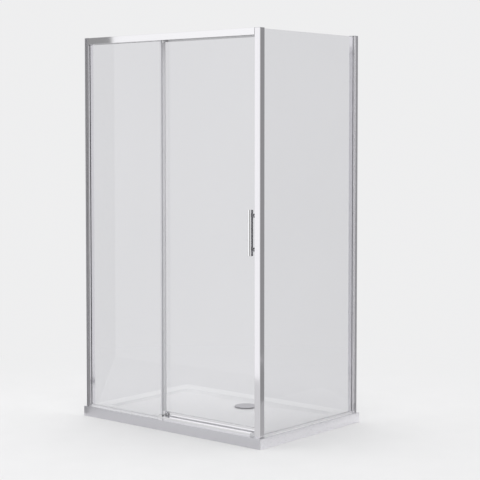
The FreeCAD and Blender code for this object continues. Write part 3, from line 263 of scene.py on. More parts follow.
def spread_colour(
    tree: bpy.types.NodeTree, mask: bpy.types.NodeSocket, low: Colour, high: Colour
) -> bpy.types.NodeSocket:
    """Blend two colours over the middle of a mask's range.

    Args:
        tree: The material's tree.
        mask: Value from 0 to 1.
        low: Colour at 0.
        high: Colour at 1.

    Returns:
        The blended colour.
    """
    ramp = tree.nodes.new("ShaderNodeValToRGB")
    for stop, position, colour in zip(ramp.color_ramp.elements, MIDDLE_RANGE, (low, high)):
        stop.position = position
        stop.color = (*colour, 1.0)
    tree.links.new(mask, ramp.inputs[0])
    return ramp.outputs[0]


def spread_value(
    tree: bpy.types.NodeTree, mask: bpy.types.NodeSocket, low: float, high: float
) -> bpy.types.NodeSocket:
    """Map a 0 to 1 mask onto a range of values.

    Args:
        tree: The material's tree.
        mask: Value from 0 to 1.
        low: Result at 0.
        high: Result at 1.

    Returns:
        The mapped value.
    """
    node = tree.nodes.new("ShaderNodeMapRange")
    node.inputs["To Min"].default_value = low
    node.inputs["To Max"].default_value = high
    tree.links.new(mask, node.inputs["Value"])
    return node.outputs[0]


def add_bump(
    tree: bpy.types.NodeTree,
    shader: bpy.types.ShaderNode,
    height: bpy.types.NodeSocket,
    strength: float,
    reach: float,
) -> None:
    """Feed a height into the shader's normal.

    Args:
        tree: The material's tree.
        shader: The Principled shader.
        height: Height value.
        strength: Bump strength.
        reach: Bump distance in metres.
    """
    bump = tree.nodes.new("ShaderNodeBump")
    bump.inputs["Strength"].default_value = strength
    bump.inputs["Distance"].default_value = reach
    tree.links.new(height, bump.inputs["Height"])
    tree.links.new(bump.outputs[0], shader.inputs["Normal"])


# Finishes


@dataclass(frozen=True)
class DrawnMetal:
    """Aluminium or steel drawn in one direction, anodised or polished.

    Attributes:
        name: Material name.
        colour: Mean colour, linear.
        roughness: Mean roughness.
        grain: Direction of the lines.
        depth: Depth of the lines in metres.
        spread: Share by which the tone varies.
        mark_roughness: Roughness that the handling marks add.
        bump: Strength of the lines.
        rough_ratio: Share by which the roughness varies, over that of the tone.
    """

    name: str
    colour: Colour
    roughness: float
    grain: Grain = Grain.ALONG_Z
    depth: float = 0.00002
    spread: float = 0.04
    mark_roughness: float = 0.3
    bump: float = 0.25
    rough_ratio: float = 3.0

    def build(self) -> bpy.types.Material:
        """Make the material.

        Returns:
            The material.
        """
        material, shader, tree = start_material(self.name)
        across, deep, up = self.grain.value
        lines = place_group(
            tree, DRAWN_LINES, Line_Scale_X=across, Line_Scale_Y=deep, Line_Scale_Z=up
        )
        low, high = toned(self.colour, 1.0 - self.spread), toned(self.colour, 1.0 + self.spread)
        tone = spread_colour(tree, lines.outputs["Bands"], low, high)
        tree.links.new(tone, shader.inputs["Base Color"])
        rough_spread = self.rough_ratio * self.spread
        smooth = self.roughness * (1.0 - rough_spread)
        coarse = self.roughness * (1.0 + rough_spread)
        rough = spread_value(tree, lines.outputs["Lines"], smooth, coarse)
        added = maths(tree, "MULTIPLY", lines.outputs["Marks"], self.mark_roughness)
        tree.links.new(maths(tree, "ADD", rough, added), shader.inputs["Roughness"])
        shader.inputs["Metallic"].default_value = 1.0
        add_bump(tree, shader, lines.outputs["Lines"], self.bump, self.depth)
        return material


@dataclass(frozen=True)
class Moulding:
    """Plastic, rubber or gel coat.

    Attributes:
        name: Material name.
        colour: Mean colour, linear.
        roughness: Mean roughness.
        coat: Weight of a clear gloss layer.
        spread: Share by which the tone varies.
        fine: Scale of the fine texture.
        depth: Depth of the fine texture in metres.
        rough_spread: Share by which the roughness varies.
        coat_roughness: Roughness of the gloss layer.
        bump: Strength of the fine texture.
    """

    name: str
    colour: Colour
    roughness: float
    coat: float = 0.0
    spread: float = 0.02
    fine: float = 600.0
    depth: float = 0.00003
    rough_spread: float = 0.1
    coat_roughness: float = 0.08
    bump: float = 0.2

    def build(self) -> bpy.types.Material:
        """Make the material.

        Returns:
            The material.
        """
        material, shader, tree = start_material(self.name)
        texture = place_group(tree, MOULDED, Fine_Scale=self.fine)
        low, high = toned(self.colour, 1.0 - self.spread), toned(self.colour, 1.0 + self.spread)
        tone = spread_colour(tree, texture.outputs["Slow"], low, high)
        tree.links.new(tone, shader.inputs["Base Color"])
        smooth = self.roughness * (1.0 - self.rough_spread)
        coarse = self.roughness * (1.0 + self.rough_spread)
        rough = spread_value(tree, texture.outputs["Fine"], smooth, coarse)
        tree.links.new(rough, shader.inputs["Roughness"])
        shader.inputs["Coat Weight"].default_value = self.coat
        shader.inputs["Coat Roughness"].default_value = self.coat_roughness
        add_bump(tree, shader, texture.outputs["Fine"], self.bump, self.depth)
        return material


@dataclass(frozen=True)
class Glazing:
    """Toughened glass, which lets light pass straight on to what is behind it.

    Attributes:
        name: Material name.
        colour: Colour of the light that passes, linear.
        shade: Share of light that reaches what lies behind.
        roughness: Surface roughness.
        spread: Share by which the tone varies.
        slow: Scale of the change of tone.
        index: Index of refraction.
    """

    name: str
    colour: Colour
    shade: float = 0.9
    roughness: float = 0.0
    spread: float = 0.015
    slow: float = 1.5
    index: float = 1.5

    def build(self) -> bpy.types.Material:
        """Make the material.

        Returns:
            The material.
        """
        material, shader, tree = start_material(self.name)
        texture = place_group(tree, MOULDED, Slow_Scale=self.slow)
        low = toned(self.colour, 1.0 - self.spread)
        tone = spread_colour(tree, texture.outputs["Slow"], low, self.colour)
        tree.links.new(tone, shader.inputs["Base Color"])
        shader.inputs["Roughness"].default_value = self.roughness
        shader.inputs["IOR"].default_value = self.index
        shader.inputs["Transmission Weight"].default_value = 1.0
        clear = tree.nodes.new("ShaderNodeBsdfTransparent")
        clear.inputs["Color"].default_value = (self.shade, self.shade, self.shade, 1.0)
        path = tree.nodes.new("ShaderNodeLightPath")
        mix = tree.nodes.new("ShaderNodeMixShader")
        tree.links.new(path.outputs["Is Shadow Ray"], mix.inputs[0])
        tree.links.new(shader.outputs[0], mix.inputs[1])
        tree.links.new(clear.outputs[0], mix.inputs[2])
        tree.links.new(mix.outputs[0], tree.nodes["Material Output"].inputs[0])
        return material


@dataclass
class Finishes:
    """Every finish of the enclosure, each built once.

    Attributes:
        made: Materials built so far, by name.
    """

    made: dict[str, bpy.types.Material] = field(default_factory=dict)

    def get(self, finish: object) -> bpy.types.Material:
        """Return the finish's material and build it the first time.

        Args:
            finish: A DrawnMetal, Moulding or Glazing.

        Returns:
            The material.
        """
        if finish.name not in self.made:
            self.made[finish.name] = finish.build()
        return self.made[finish.name]


FINISHES = Finishes()
# Painted shade: satin aluminium darkened below the side fascia's copy, for the front fascia; the
# brackets and stops share it.
SHADED_SATIN_X = DrawnMetal("shaded_satin_aluminium_x", (0.70, 0.695, 0.725), 0.32, Grain.ALONG_X, 0.000008)
# Painted light: the same satin aluminium made lighter for the side fascia, a lit copy of the front
# fascia's metal.
LIT_SATIN_Y = DrawnMetal("lit_satin_aluminium_y", (0.93, 0.92, 0.95), 0.28, Grain.ALONG_Y, 0.000008)
# Painted shade: satin aluminium darkened for the wall channels and the header end caps.
SHADED_SATIN_Z = DrawnMetal("shaded_satin_aluminium_z", (0.48, 0.475, 0.495), 0.28, Grain.ALONG_Z, 0.000004)
# Painted shade: the door's aluminium darkened for its top profile, which sits under the header.
SHADED_ALUMINIUM_X = DrawnMetal("shaded_grey_aluminium_x", (0.62, 0.62, 0.63), 0.3, Grain.ALONG_X, 0.000004)
BRIGHT_X = DrawnMetal("bright_aluminium_x", (0.90, 0.895, 0.91), 0.06, Grain.ALONG_X, 0.000002)
BRIGHT_Z = DrawnMetal("bright_aluminium_z", (0.865, 0.855, 0.88), 0.09, Grain.ALONG_Z, 0.000002)
CHROME = DrawnMetal("chrome", (0.89, 0.89, 0.895), 0.04, Grain.ALONG_Z, 0.000002, 0.02)
STEEL = DrawnMetal("stainless_steel", (0.52, 0.52, 0.53), 0.28, Grain.ALONG_X, 0.00001)
BRONZE = DrawnMetal("sintered_bronze", (0.42, 0.27, 0.12), 0.45, Grain.ALONG_X, 0.00002, 0.06)
GEL_COAT = Moulding("white_gel_coat", (0.91, 0.91, 0.91), 0.30, 0.2, 0.006, 260.0, 0.00004)
GREY_PLASTIC = Moulding("grey_plastic", (0.30, 0.30, 0.32), 0.42)
COVER_GREY = Moulding("grey_cover_plastic", (0.42, 0.41, 0.435), 0.32, 0.15)
SILVER_PLASTIC = Moulding("silver_plastic", (0.55, 0.55, 0.57), 0.35, 0.1)
WHITE_PLASTIC = Moulding("white_plastic", (0.78, 0.78, 0.77), 0.4)
DARK_PLASTIC = Moulding("dark_plastic", (0.03, 0.03, 0.033), 0.45)
RUBBER = Moulding("black_rubber", (0.02, 0.02, 0.021), 0.65, 0.0, 0.05, 900.0, 0.00005)
CLEAR_SEAL = Moulding("clear_seal", (0.88, 0.88, 0.905), 0.3, 0.1, 0.02, 300.0, 0.00001)
EDGE_SEAL = Moulding("edge_seal", (0.56, 0.56, 0.585), 0.3, 0.1, 0.02, 300.0, 0.00001)
PALE_SEAL = Moulding("pale_seal", (0.68, 0.68, 0.70), 0.4, 0.1, 0.02, 300.0, 0.00001)
GREY_SEAL = Moulding("grey_seal", (0.22, 0.22, 0.235), 0.4, 0.1, 0.03, 300.0, 0.000006)
GLASS = Glazing("clear_glass", (0.82, 0.82, 0.838), 0.98)
GLASS_EDGE = Glazing("glass_edge", (0.62, 0.67, 0.67), 0.9, 0.12)


# Meshes


def finished_copy(
    node: str,
    finish: object,
    bevel: float = 0.0,
    segments: int = 2,
    sharp: float = HARD_ANGLE,
    chosen: Optional[Callable[[Vector], bool]] = None,
) -> bpy.types.Object:
    """Make a clean copy of a CAD node, with its hard edges rounded, that stands for the node.

    Args:
        node: CAD node name.
        finish: Finish of the copy.
        bevel: Width of the edge rounding in metres.
        segments: Faces across each rounded edge.
        sharp: Angle in degrees above which an edge counts as hard.
        chosen: Test on an edge's middle; only edges that pass are rounded.

    Returns:
        The new piece.
    """
    source = frame["nodes"][node]
    mesh = source.data.copy()
    mesh.name = f"{node}_look"
    form = bmesh.new()
    form.from_mesh(mesh)
    bmesh.ops.remove_doubles(form, verts=form.verts, dist=MERGE_DISTANCE)
    bmesh.ops.dissolve_limit(
        form, angle_limit=math.radians(FLAT_ANGLE), verts=form.verts, edges=form.edges
    )
    if bevel > 0.0:
        limit = math.radians(sharp)
        edges = [
            edge for edge in form.edges
            if len(edge.link_faces) == 2 and edge.calc_face_angle(0.0) > limit
            and (chosen is None or chosen((edge.verts[0].co + edge.verts[1].co) / 2))
        ]
        bmesh.ops.bevel(
            form, geom=edges, offset=bevel, segments=segments, profile=ROUND_PROFILE,
            affect="EDGES", clamp_overlap=True,
        )
    form.to_mesh(mesh)
    form.free()
    mesh.materials.clear()
    mesh.materials.append(FINISHES.get(finish))
    piece = even_shading(mesh, f"{node}_look", sharp)
    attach(piece, source["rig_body"])
    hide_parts(node)
    LOG.info("%s rounded, %d faces", node, len(piece.data.polygons))
    return piece


def even_shading(mesh: bpy.types.Mesh, name: str, sharp: float) -> bpy.types.Object:
    """Smooth the roundings of a mesh and keep its flats flat.

    Args:
        mesh: Mesh to shade; it is replaced.
        name: Name of the piece and of its mesh.
        sharp: Angle in degrees above which an edge stays hard.

    Returns:
        A linked object with plain mesh data.
    """
    mesh.polygons.foreach_set("use_smooth", [True] * len(mesh.polygons))
    mesh.set_sharp_from_angle(angle=math.radians(sharp))
    rough = bpy.data.objects.new(f"{name}_rough", mesh)
    bpy.context.scene.collection.objects.link(rough)
    weigh = rough.modifiers.new("Flats", "WEIGHTED_NORMAL")
    weigh.mode = "FACE_AREA"
    weigh.weight = FLATS_WEIGHT
    weigh.keep_sharp = True
    bpy.context.view_layer.update()
    solid = rough.evaluated_get(bpy.context.evaluated_depsgraph_get())
    final = bpy.data.meshes.new_from_object(solid)
    bpy.data.objects.remove(rough)
    bpy.data.meshes.remove(mesh)
    final.name = name
    piece = bpy.data.objects.new(name, final)
    bpy.context.scene.collection.objects.link(piece)
    return piece


def paint(node: str, finish: object) -> None:
    """Give a CAD node that stays as it is its finish.

    Args:
        node: CAD node name.
        finish: Its finish.
    """
    mesh = frame["nodes"][node].data
    material = FINISHES.get(finish)
    if not mesh.materials:
        mesh.materials.append(material)
    for index in range(len(mesh.materials)):
        mesh.materials[index] = material
    LOG.info("%s painted %s", node, finish.name)


def solids_of(node: str) -> list[tuple[Vector, Vector]]:
    """Measure each separate solid of a CAD node.

    Args:
        node: CAD node name.

    Returns:
        Lowest and highest corner of each solid, in order of the lowest X, Y and Z.
    """
    form = bmesh.new()
    form.from_mesh(frame["nodes"][node].data)
    bmesh.ops.remove_doubles(form, verts=form.verts, dist=MERGE_DISTANCE)
    unseen = set(form.verts)
    found = []
    while unseen:
        stack = [unseen.pop()]
        island = []
        while stack:
            vertex = stack.pop()
            island.append(vertex.co.copy())
            for edge in vertex.link_edges:
                other = edge.other_vert(vertex)
                if other in unseen:
                    unseen.remove(other)
                    stack.append(other)
        low = Vector(min(point[axis] for point in island) for axis in range(3))
        high = Vector(max(point[axis] for point in island) for axis in range(3))
        found.append((low, high))
    form.free()
    return sorted(found, key=lambda pair: tuple(round(part, 4) for part in pair[0]))


# Geometry node screws


def screw_tree() -> bpy.types.NodeTree:
    """Make the node tree that sets a screw with a cross recess on each point.

    Returns:
        The tree.
    """
    head_sides, shank_sides = 32, 20
    recess_reach = 1.2
    tree = bpy.data.node_groups.new("cross_recess_screws", "GeometryNodeTree")
    face = tree.interface
    face.new_socket("Geometry", in_out="INPUT", socket_type="NodeSocketGeometry")
    sizes = {
        "Head Radius": 0.0034, "Head Height": 0.0012, "Shank Radius": 0.0018,
        "Length": 0.01, "Recess Width": 0.0009,
    }
    for label, value in sizes.items():
        socket = face.new_socket(label, in_out="INPUT", socket_type="NodeSocketFloat")
        socket.default_value = value
    face.new_socket("Turn", in_out="INPUT", socket_type="NodeSocketVector")
    face.new_socket("Finish", in_out="INPUT", socket_type="NodeSocketMaterial")
    face.new_socket("Geometry", in_out="OUTPUT", socket_type="NodeSocketGeometry")
    nodes, links = tree.nodes, tree.links
    inlet = nodes.new("NodeGroupInput")
    outlet = nodes.new("NodeGroupOutput")

    def scaled(size: str, share: float) -> bpy.types.NodeSocket:
        """Add a share of a named size.

        Args:
            size: Name of the size.
            share: Share of it.

        Returns:
            The product.
        """
        node = nodes.new("ShaderNodeMath")
        node.operation = "MULTIPLY"
        node.inputs[1].default_value = share
        links.new(inlet.outputs[size], node.inputs[0])
        return node.outputs[0]

    def drum(radius: str, depth: str, sides: int) -> bpy.types.Node:
        """Add a cylinder with named sizes.

        Args:
            radius: Name of its radius.
            depth: Name of its height.
            sides: Number of its sides.

        Returns:
            The cylinder's node.
        """
        node = nodes.new("GeometryNodeMeshCylinder")
        node.inputs["Vertices"].default_value = sides
        links.new(inlet.outputs[radius], node.inputs["Radius"])
        links.new(inlet.outputs[depth], node.inputs["Depth"])
        return node

    def hung(mesh: bpy.types.NodeSocket, size: str) -> bpy.types.NodeSocket:
        """Lower a centred mesh until its top is at zero.

        Args:
            mesh: The mesh.
            size: Name of its height.

        Returns:
            The lowered mesh.
        """
        place = nodes.new("ShaderNodeCombineXYZ")
        links.new(scaled(size, -0.5), place.inputs["Z"])
        shift = nodes.new("GeometryNodeTransform")
        links.new(mesh, shift.inputs["Geometry"])
        links.new(place.outputs[0], shift.inputs["Translation"])
        return shift.outputs[0]

    head = hung(drum("Head Radius", "Head Height", head_sides).outputs["Mesh"], "Head Height")
    shank = hung(drum("Shank Radius", "Length", shank_sides).outputs["Mesh"], "Length")
    body = nodes.new("GeometryNodeMeshBoolean")
    body.operation = "UNION"
    body.solver = "EXACT"
    links.new(head, body.inputs["Mesh 2"])
    links.new(shank, body.inputs["Mesh 2"])
    screw = body.outputs["Mesh"]
    for along in ("X", "Y"):
        arm = nodes.new("GeometryNodeMeshCube")
        size = nodes.new("ShaderNodeCombineXYZ")
        across = "Y" if along == "X" else "X"
        links.new(scaled("Head Radius", recess_reach), size.inputs[along])
        links.new(inlet.outputs["Recess Width"], size.inputs[across])
        links.new(inlet.outputs["Head Height"], size.inputs["Z"])
        links.new(size.outputs[0], arm.inputs["Size"])
        cutter = nodes.new("GeometryNodeMeshBoolean")
        cutter.operation = "DIFFERENCE"
        cutter.solver = "EXACT"
        links.new(screw, cutter.inputs["Mesh 1"])
        links.new(arm.outputs["Mesh"], cutter.inputs["Mesh 2"])
        screw = cutter.outputs["Mesh"]
    spots = nodes.new("GeometryNodeInstanceOnPoints")
    links.new(inlet.outputs["Geometry"], spots.inputs["Points"])
    links.new(screw, spots.inputs["Instance"])
    links.new(inlet.outputs["Turn"], spots.inputs["Rotation"])
    real = nodes.new("GeometryNodeRealizeInstances")
    links.new(spots.outputs[0], real.inputs[0])
    coat = nodes.new("GeometryNodeSetMaterial")
    links.new(real.outputs[0], coat.inputs["Geometry"])
    links.new(inlet.outputs["Finish"], coat.inputs["Material"])
    links.new(coat.outputs[0], outlet.inputs["Geometry"])
    return tree


SCREWS = screw_tree()


@dataclass
class ScrewSet:
    """Screws with a cross recess that stand for the plain ones of a CAD node.

    Attributes:
        node: CAD node of the plain screws.
        facing: Where the heads look.
        head: Head height in metres.
        shank: Shank radius in metres.
        finish: Finish of the screws.
    """

    node: str
    facing: Facing
    head: float
    shank: float
    finish: DrawnMetal = STEEL

    def build(self) -> bpy.types.Object:
        """Set one screw at each solid of the node.

        Returns:
            The screws as one piece.
        """
        way = Vector(self.facing.value)
        axis = max(range(3), key=lambda part: abs(way[part]))
        side = (axis + 1) % 3
        boxes = solids_of(self.node)
        tops = []
        for low, high in boxes:
            middle = (low + high) / 2
            tops.append(middle + way * (high[axis] - low[axis]) / 2)
        low, high = boxes[0]
        points = bpy.data.meshes.new(f"{self.node}_points")
        points.from_pydata([tuple(top) for top in tops], [], [])
        carrier = bpy.data.objects.new(f"{self.node}_points", points)
        bpy.context.scene.collection.objects.link(carrier)
        values = {
            "Head Radius": (high[side] - low[side]) / 2,
            "Head Height": self.head,
            "Shank Radius": self.shank,
            "Length": high[axis] - low[axis],
            "Turn": tuple(way.to_track_quat("Z", "Y").to_euler()),
            "Finish": FINISHES.get(self.finish),
        }
        return run_tree(carrier, SCREWS, values, self.node)


def run_tree(
    carrier: bpy.types.Object, tree: bpy.types.NodeTree, values: dict[str, object], node: str
) -> bpy.types.Object:
    """Run a geometry node tree on a carrier and keep its result as a plain piece.

    Args:
        carrier: Object that gives the tree its geometry; it is removed.
        tree: The tree.
        values: Input values by name.
        node: CAD node that the piece replaces.

    Returns:
        The finished piece.
    """
    modifier = carrier.modifiers.new("Rule", "NODES")
    modifier.node_group = tree
    for item in tree.interface.items_tree:
        if item.in_out == "INPUT" and item.name in values:
            modifier[item.identifier] = values[item.name]
    bpy.context.view_layer.update()
    solid = carrier.evaluated_get(bpy.context.evaluated_depsgraph_get())
    mesh = bpy.data.meshes.new_from_object(solid)
    carrier.modifiers.remove(modifier)
    bpy.data.objects.remove(carrier)
    piece = even_shading(mesh, f"{node}_look", HARD_ANGLE)
    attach(piece, frame["nodes"][node]["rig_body"])
    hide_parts(node)
    LOG.info("%s made by rule, %d faces", node, len(piece.data.polygons))
    return piece


# Sub-assemblies


@dataclass
class Tray:
    """White tray with its metal edge.

    Attributes:
        rim: Width of the rim in which no edge is rounded.
        depth: Depth below the rim down to which edges are rounded.
        lip_radius: Rounding of the recess's edges.
        lip_angle: Angle in degrees above which an edge of the recess is rounded.
        fascia_radius: Rounding of the metal edge.
    """

    rim: float = 60.0 * MM
    depth: float = 14.0 * MM
    lip_radius: float = 4.0 * MM
    lip_angle: float = 25.0
    fascia_radius: float = 0.5 * MM

    def build(self) -> None:
        """Round the recess and the two fascias."""
        low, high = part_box("shower_tray")

        def in_recess(point: Vector) -> bool:
            """Tell whether a point lies inside the rim and above the underside.

            Args:
                point: The point.

            Returns:
                True for a point of the recess.
            """
            inside_x = low.x + self.rim < point.x < high.x - self.rim
            inside_y = low.y + self.rim < point.y < high.y - self.rim
            return inside_x and inside_y and point.z > high.z - self.depth

        finished_copy("shower_tray", GEL_COAT, self.lip_radius, 4, self.lip_angle, in_recess)
        # The front and side fascias are one folded aluminium edge: the front one is painted darker
        # with painted shade, the side one lighter with painted light.
        finished_copy("front_fascia", SHADED_SATIN_X, self.fascia_radius, 2)
        finished_copy("side_fascia", LIT_SATIN_Y, self.fascia_radius, 2)


@dataclass
class Waste:
    """Waste fitting under its cover.

    Attributes:
        cover_radius: Rounding of the cover.
        strainer_radius: Rounding of the pressed strainer.
        hard_angle: Angle in degrees above which an edge is rounded.
    """

    cover_radius: float = 0.4 * MM
    strainer_radius: float = 0.2 * MM
    hard_angle: float = 35.0

    def build(self) -> None:
        """Dress the waste from its cover to its nut."""
        finished_copy("drain_cover", COVER_GREY, self.cover_radius, 2, self.hard_angle)
        finished_copy("waste_strainer", STEEL, self.strainer_radius, 1, self.hard_angle)
        paint("waste_body", WHITE_PLASTIC)
        paint("waste_lock_nut", WHITE_PLASTIC)
        paint("waste_seal_ring", RUBBER)


@dataclass
class EndProfiles:
    """Channels, jambs, gaskets and caps at the frame's left and rear ends.

    Attributes:
        edge: Rounding of the drawn profiles.
        cap_edge: Rounding of the plastic caps.
        screw_head: Height of the screw heads.
        screw_shank: Radius of the screws.
    """

    edge: float = 0.4 * MM
    cap_edge: float = 1.0 * MM
    screw_head: float = 2.0 * MM
    screw_shank: float = 1.75 * MM

    def build(self) -> None:
        """Dress both sets."""
        for side, facing in (("left", Facing.INWARD_Y), ("rear", Facing.INWARD_X)):
            # The wall channels get the satin aluminium darkened with painted shade.
            finished_copy(f"{side}_wall_channel", SHADED_SATIN_Z, self.edge)
            finished_copy(f"{side}_jamb", BRIGHT_Z, self.edge)
            finished_copy(f"{side}_profile_cap", GREY_PLASTIC, self.cap_edge, 3)
            # The rear gasket is given the pale seal grey, lighter than the left gasket of the same
            # rubber: painted light.
            paint(f"{side}_glass_gasket", GREY_SEAL if side == "left" else PALE_SEAL)
            ScrewSet(f"{side}_jamb_screws", facing, self.screw_head, self.screw_shank).build()


@dataclass
class CornerPost:
    """Corner post with its cap and closing strip.

    Attributes:
        edge: Rounding of the post.
        cap_edge: Rounding of its cap.
        strip_edge: Rounding of the closing strip.
    """

    edge: float = 0.3 * MM
    cap_edge: float = 0.6 * MM
    strip_edge: float = 0.4 * MM

    def build(self) -> None:
        """Dress the post."""
        finished_copy("corner_post", BRIGHT_Z, self.edge, 2, FACETED_ANGLE)
        finished_copy("corner_post_cap", SILVER_PLASTIC, self.cap_edge, 2)
        finished_copy("post_magnetic_strip", GREY_SEAL, self.strip_edge, 2)


@dataclass
class Header:
    """Top rail with its ends, brackets, stops and screws.

    Attributes:
        edge: Rounding of the profiles.
        screw_head: Height of the screw heads.
        screw_shank: Radius of the screws.
    """

    edge: float = 0.3 * MM
    screw_head: float = 1.2 * MM
    screw_shank: float = 1.8 * MM

    def build(self) -> None:
        """Dress the rail and what it holds."""
        for node in ("header_rail", "rear_track_rail", "header_cover"):
            finished_copy(node, BRIGHT_X, self.edge, 1, FACETED_ANGLE)
        # The end caps get the satin aluminium darkened with painted shade.
        finished_copy("header_end_caps", SHADED_SATIN_Z, self.edge, 1)
        paint("header_brackets", SHADED_SATIN_X)
        paint("track_stops", SHADED_SATIN_X)
        paint("stop_buffers", RUBBER)
        paint("header_gasket", PALE_SEAL)
        for node in ("header_screws", "stop_screws"):
            ScrewSet(node, Facing.UP, self.screw_head, self.screw_shank).build()


@dataclass
class Panes:
    """Fixed pane, side pane and their seals.

    Attributes:
        arris: Width of the polished corner of each glass edge.
        seal_edge: Rounding of the bottom seals.
        fin_edge: Rounding of the edge seal.
        fin_gap: Distance behind the fixed pane from which the edge seal is the paler one.
        flat: Share of a face's normal across the pane above which the face is not an edge.
    """

    arris: float = 0.7 * MM
    seal_edge: float = 0.5 * MM
    fin_edge: float = 0.3 * MM
    fin_gap: float = 1.2 * MM
    flat: float = 0.9

    def build(self) -> None:
        """Dress the glass and the seals."""
        self.pane("fixed_glass", 1)
        self.pane("side_glass", 0)
        for node in ("fixed_bottom_seal", "side_bottom_seal"):
            finished_copy(node, PALE_SEAL, self.seal_edge, 2)
        seal = finished_copy("fixed_edge_seal", EDGE_SEAL, self.fin_edge, 1)
        seal.data.materials.append(FINISHES.get(CLEAR_SEAL))
        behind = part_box("fixed_glass")[1].y + self.fin_gap
        for face in seal.data.polygons:
            face.material_index = 1 if face.center.y > behind else 0
        paint("side_post_gasket", GREY_SEAL)

    def pane(self, node: str, across: int) -> bpy.types.Object:
        """Dress one pane, with its edges in the deeper colour of the glass.

        Args:
            node: CAD node of the pane.
            across: Axis of the pane's thickness.

        Returns:
            The pane.
        """
        piece = finished_copy(node, GLASS, self.arris, 2)
        mesh = piece.data
        mesh.materials.append(FINISHES.get(GLASS_EDGE))
        for face in mesh.polygons:
            face.material_index = 0 if abs(face.normal[across]) > self.flat else 1
        return piece


@dataclass
class SillAndGuide:
    """Threshold under the door and the bottom guide.

    Attributes:
        edge: Rounding of the threshold.
        bracket_edge: Rounding of the cast bracket.
        pad_edge: Rounding of the nylon pads.
        screw_head: Height of the screw heads.
        screw_shank: Radius of the screws.
    """

    edge: float = 0.5 * MM
    bracket_edge: float = 0.8 * MM
    pad_edge: float = 0.6 * MM
    screw_head: float = 2.5 * MM
    screw_shank: float = 2.0 * MM

    def build(self) -> None:
        """Dress the sill and the guide."""
        finished_copy("threshold_rail", BRIGHT_X, self.edge)
        finished_copy("threshold_end_caps", SILVER_PLASTIC, self.edge, 3)
        finished_copy("guide_bracket", CHROME, self.bracket_edge, 3)
        finished_copy("guide_pads", DARK_PLASTIC, self.pad_edge, 3)
        ScrewSet("guide_screws", Facing.UP, self.screw_head, self.screw_shank).build()


@dataclass
class Door:
    """Sliding door with its profiles, seals and handles.

    Attributes:
        edge: Rounding of the profiles and of the closing seal.
        fine_edge: Rounding of the thin seals and the washers.
    """

    edge: float = 0.5 * MM
    fine_edge: float = 0.3 * MM

    def build(self, panes: Panes) -> None:
        """Dress the door.

        Args:
            panes: Maker of the glass.
        """
        panes.pane("door_glass", 1)
        # The top profile gets the door's aluminium darkened with painted shade.
        finished_copy("door_top_profile", SHADED_ALUMINIUM_X, self.edge)
        finished_copy("door_bottom_profile", BRIGHT_X, self.edge)
        finished_copy("door_wiper_seal", CLEAR_SEAL, self.fine_edge, 1)
        finished_copy("door_rear_seal", CLEAR_SEAL, self.fine_edge, 1)
        finished_copy("door_magnetic_seal", PALE_SEAL, self.edge, 2)
        for node in ("outer_handle", "inner_handle"):
            finished_copy(node, CHROME, sharp=FACETED_ANGLE)
        finished_copy("handle_washers", DARK_PLASTIC, self.fine_edge, 2)
        paint("handle_studs", STEEL)


@dataclass
class Rollers:
    """Carriages, axles, bearings and wheels in the top rail.

    Attributes:
        edge: Rounding of the carriages.
        wheel_edge: Rounding of the wheels.
        axle_edge: Rounding of the axles.
        screw_head: Height of the screw heads.
        screw_shank: Radius of the screws.
    """

    edge: float = 0.5 * MM
    wheel_edge: float = 0.3 * MM
    axle_edge: float = 0.2 * MM
    screw_head: float = 2.4 * MM
    screw_shank: float = 2.0 * MM

    def build(self) -> None:
        """Dress both roller sets."""
        for side in ("left", "right"):
            finished_copy(f"{side}_carriage", GREY_PLASTIC, self.edge, 2, FACETED_ANGLE)
            finished_copy(f"{side}_roller_wheels", WHITE_PLASTIC, self.wheel_edge, 2, FACETED_ANGLE)
            paint(f"{side}_roller_bearings", BRONZE)
        finished_copy("roller_axles", STEEL, self.axle_edge, 1, FACETED_ANGLE)
        ScrewSet("carriage_screws", Facing.UP, self.screw_head, self.screw_shank).build()


@dataclass(frozen=True)
class Softbox:
    """Soft rectangular lamp.

    Attributes:
        name: Lamp name.
        place: Middle of the lamp.
        target: Point that it faces.
        width: Width in metres.
        height: Height in metres.
        power: Power in watts.
    """

    name: str
    place: Place
    target: Place
    width: float
    height: float
    power: float

    def hang(self) -> None:
        """Hang the lamp, which lights the set but isn't seen in it."""
        light = bpy.data.lights.new(self.name, "AREA")
        light.shape = "RECTANGLE"
        light.size = self.width
        light.size_y = self.height
        light.energy = self.power
        holder = bpy.data.objects.new(self.name, light)
        holder.location = self.place
        way = Vector(self.target) - Vector(self.place)
        holder.rotation_euler = way.to_track_quat("-Z", "Y").to_euler()
        for ray in ("camera", "glossy", "transmission"):
            setattr(holder, f"visible_{ray}", False)
        bpy.context.scene.collection.objects.link(holder)


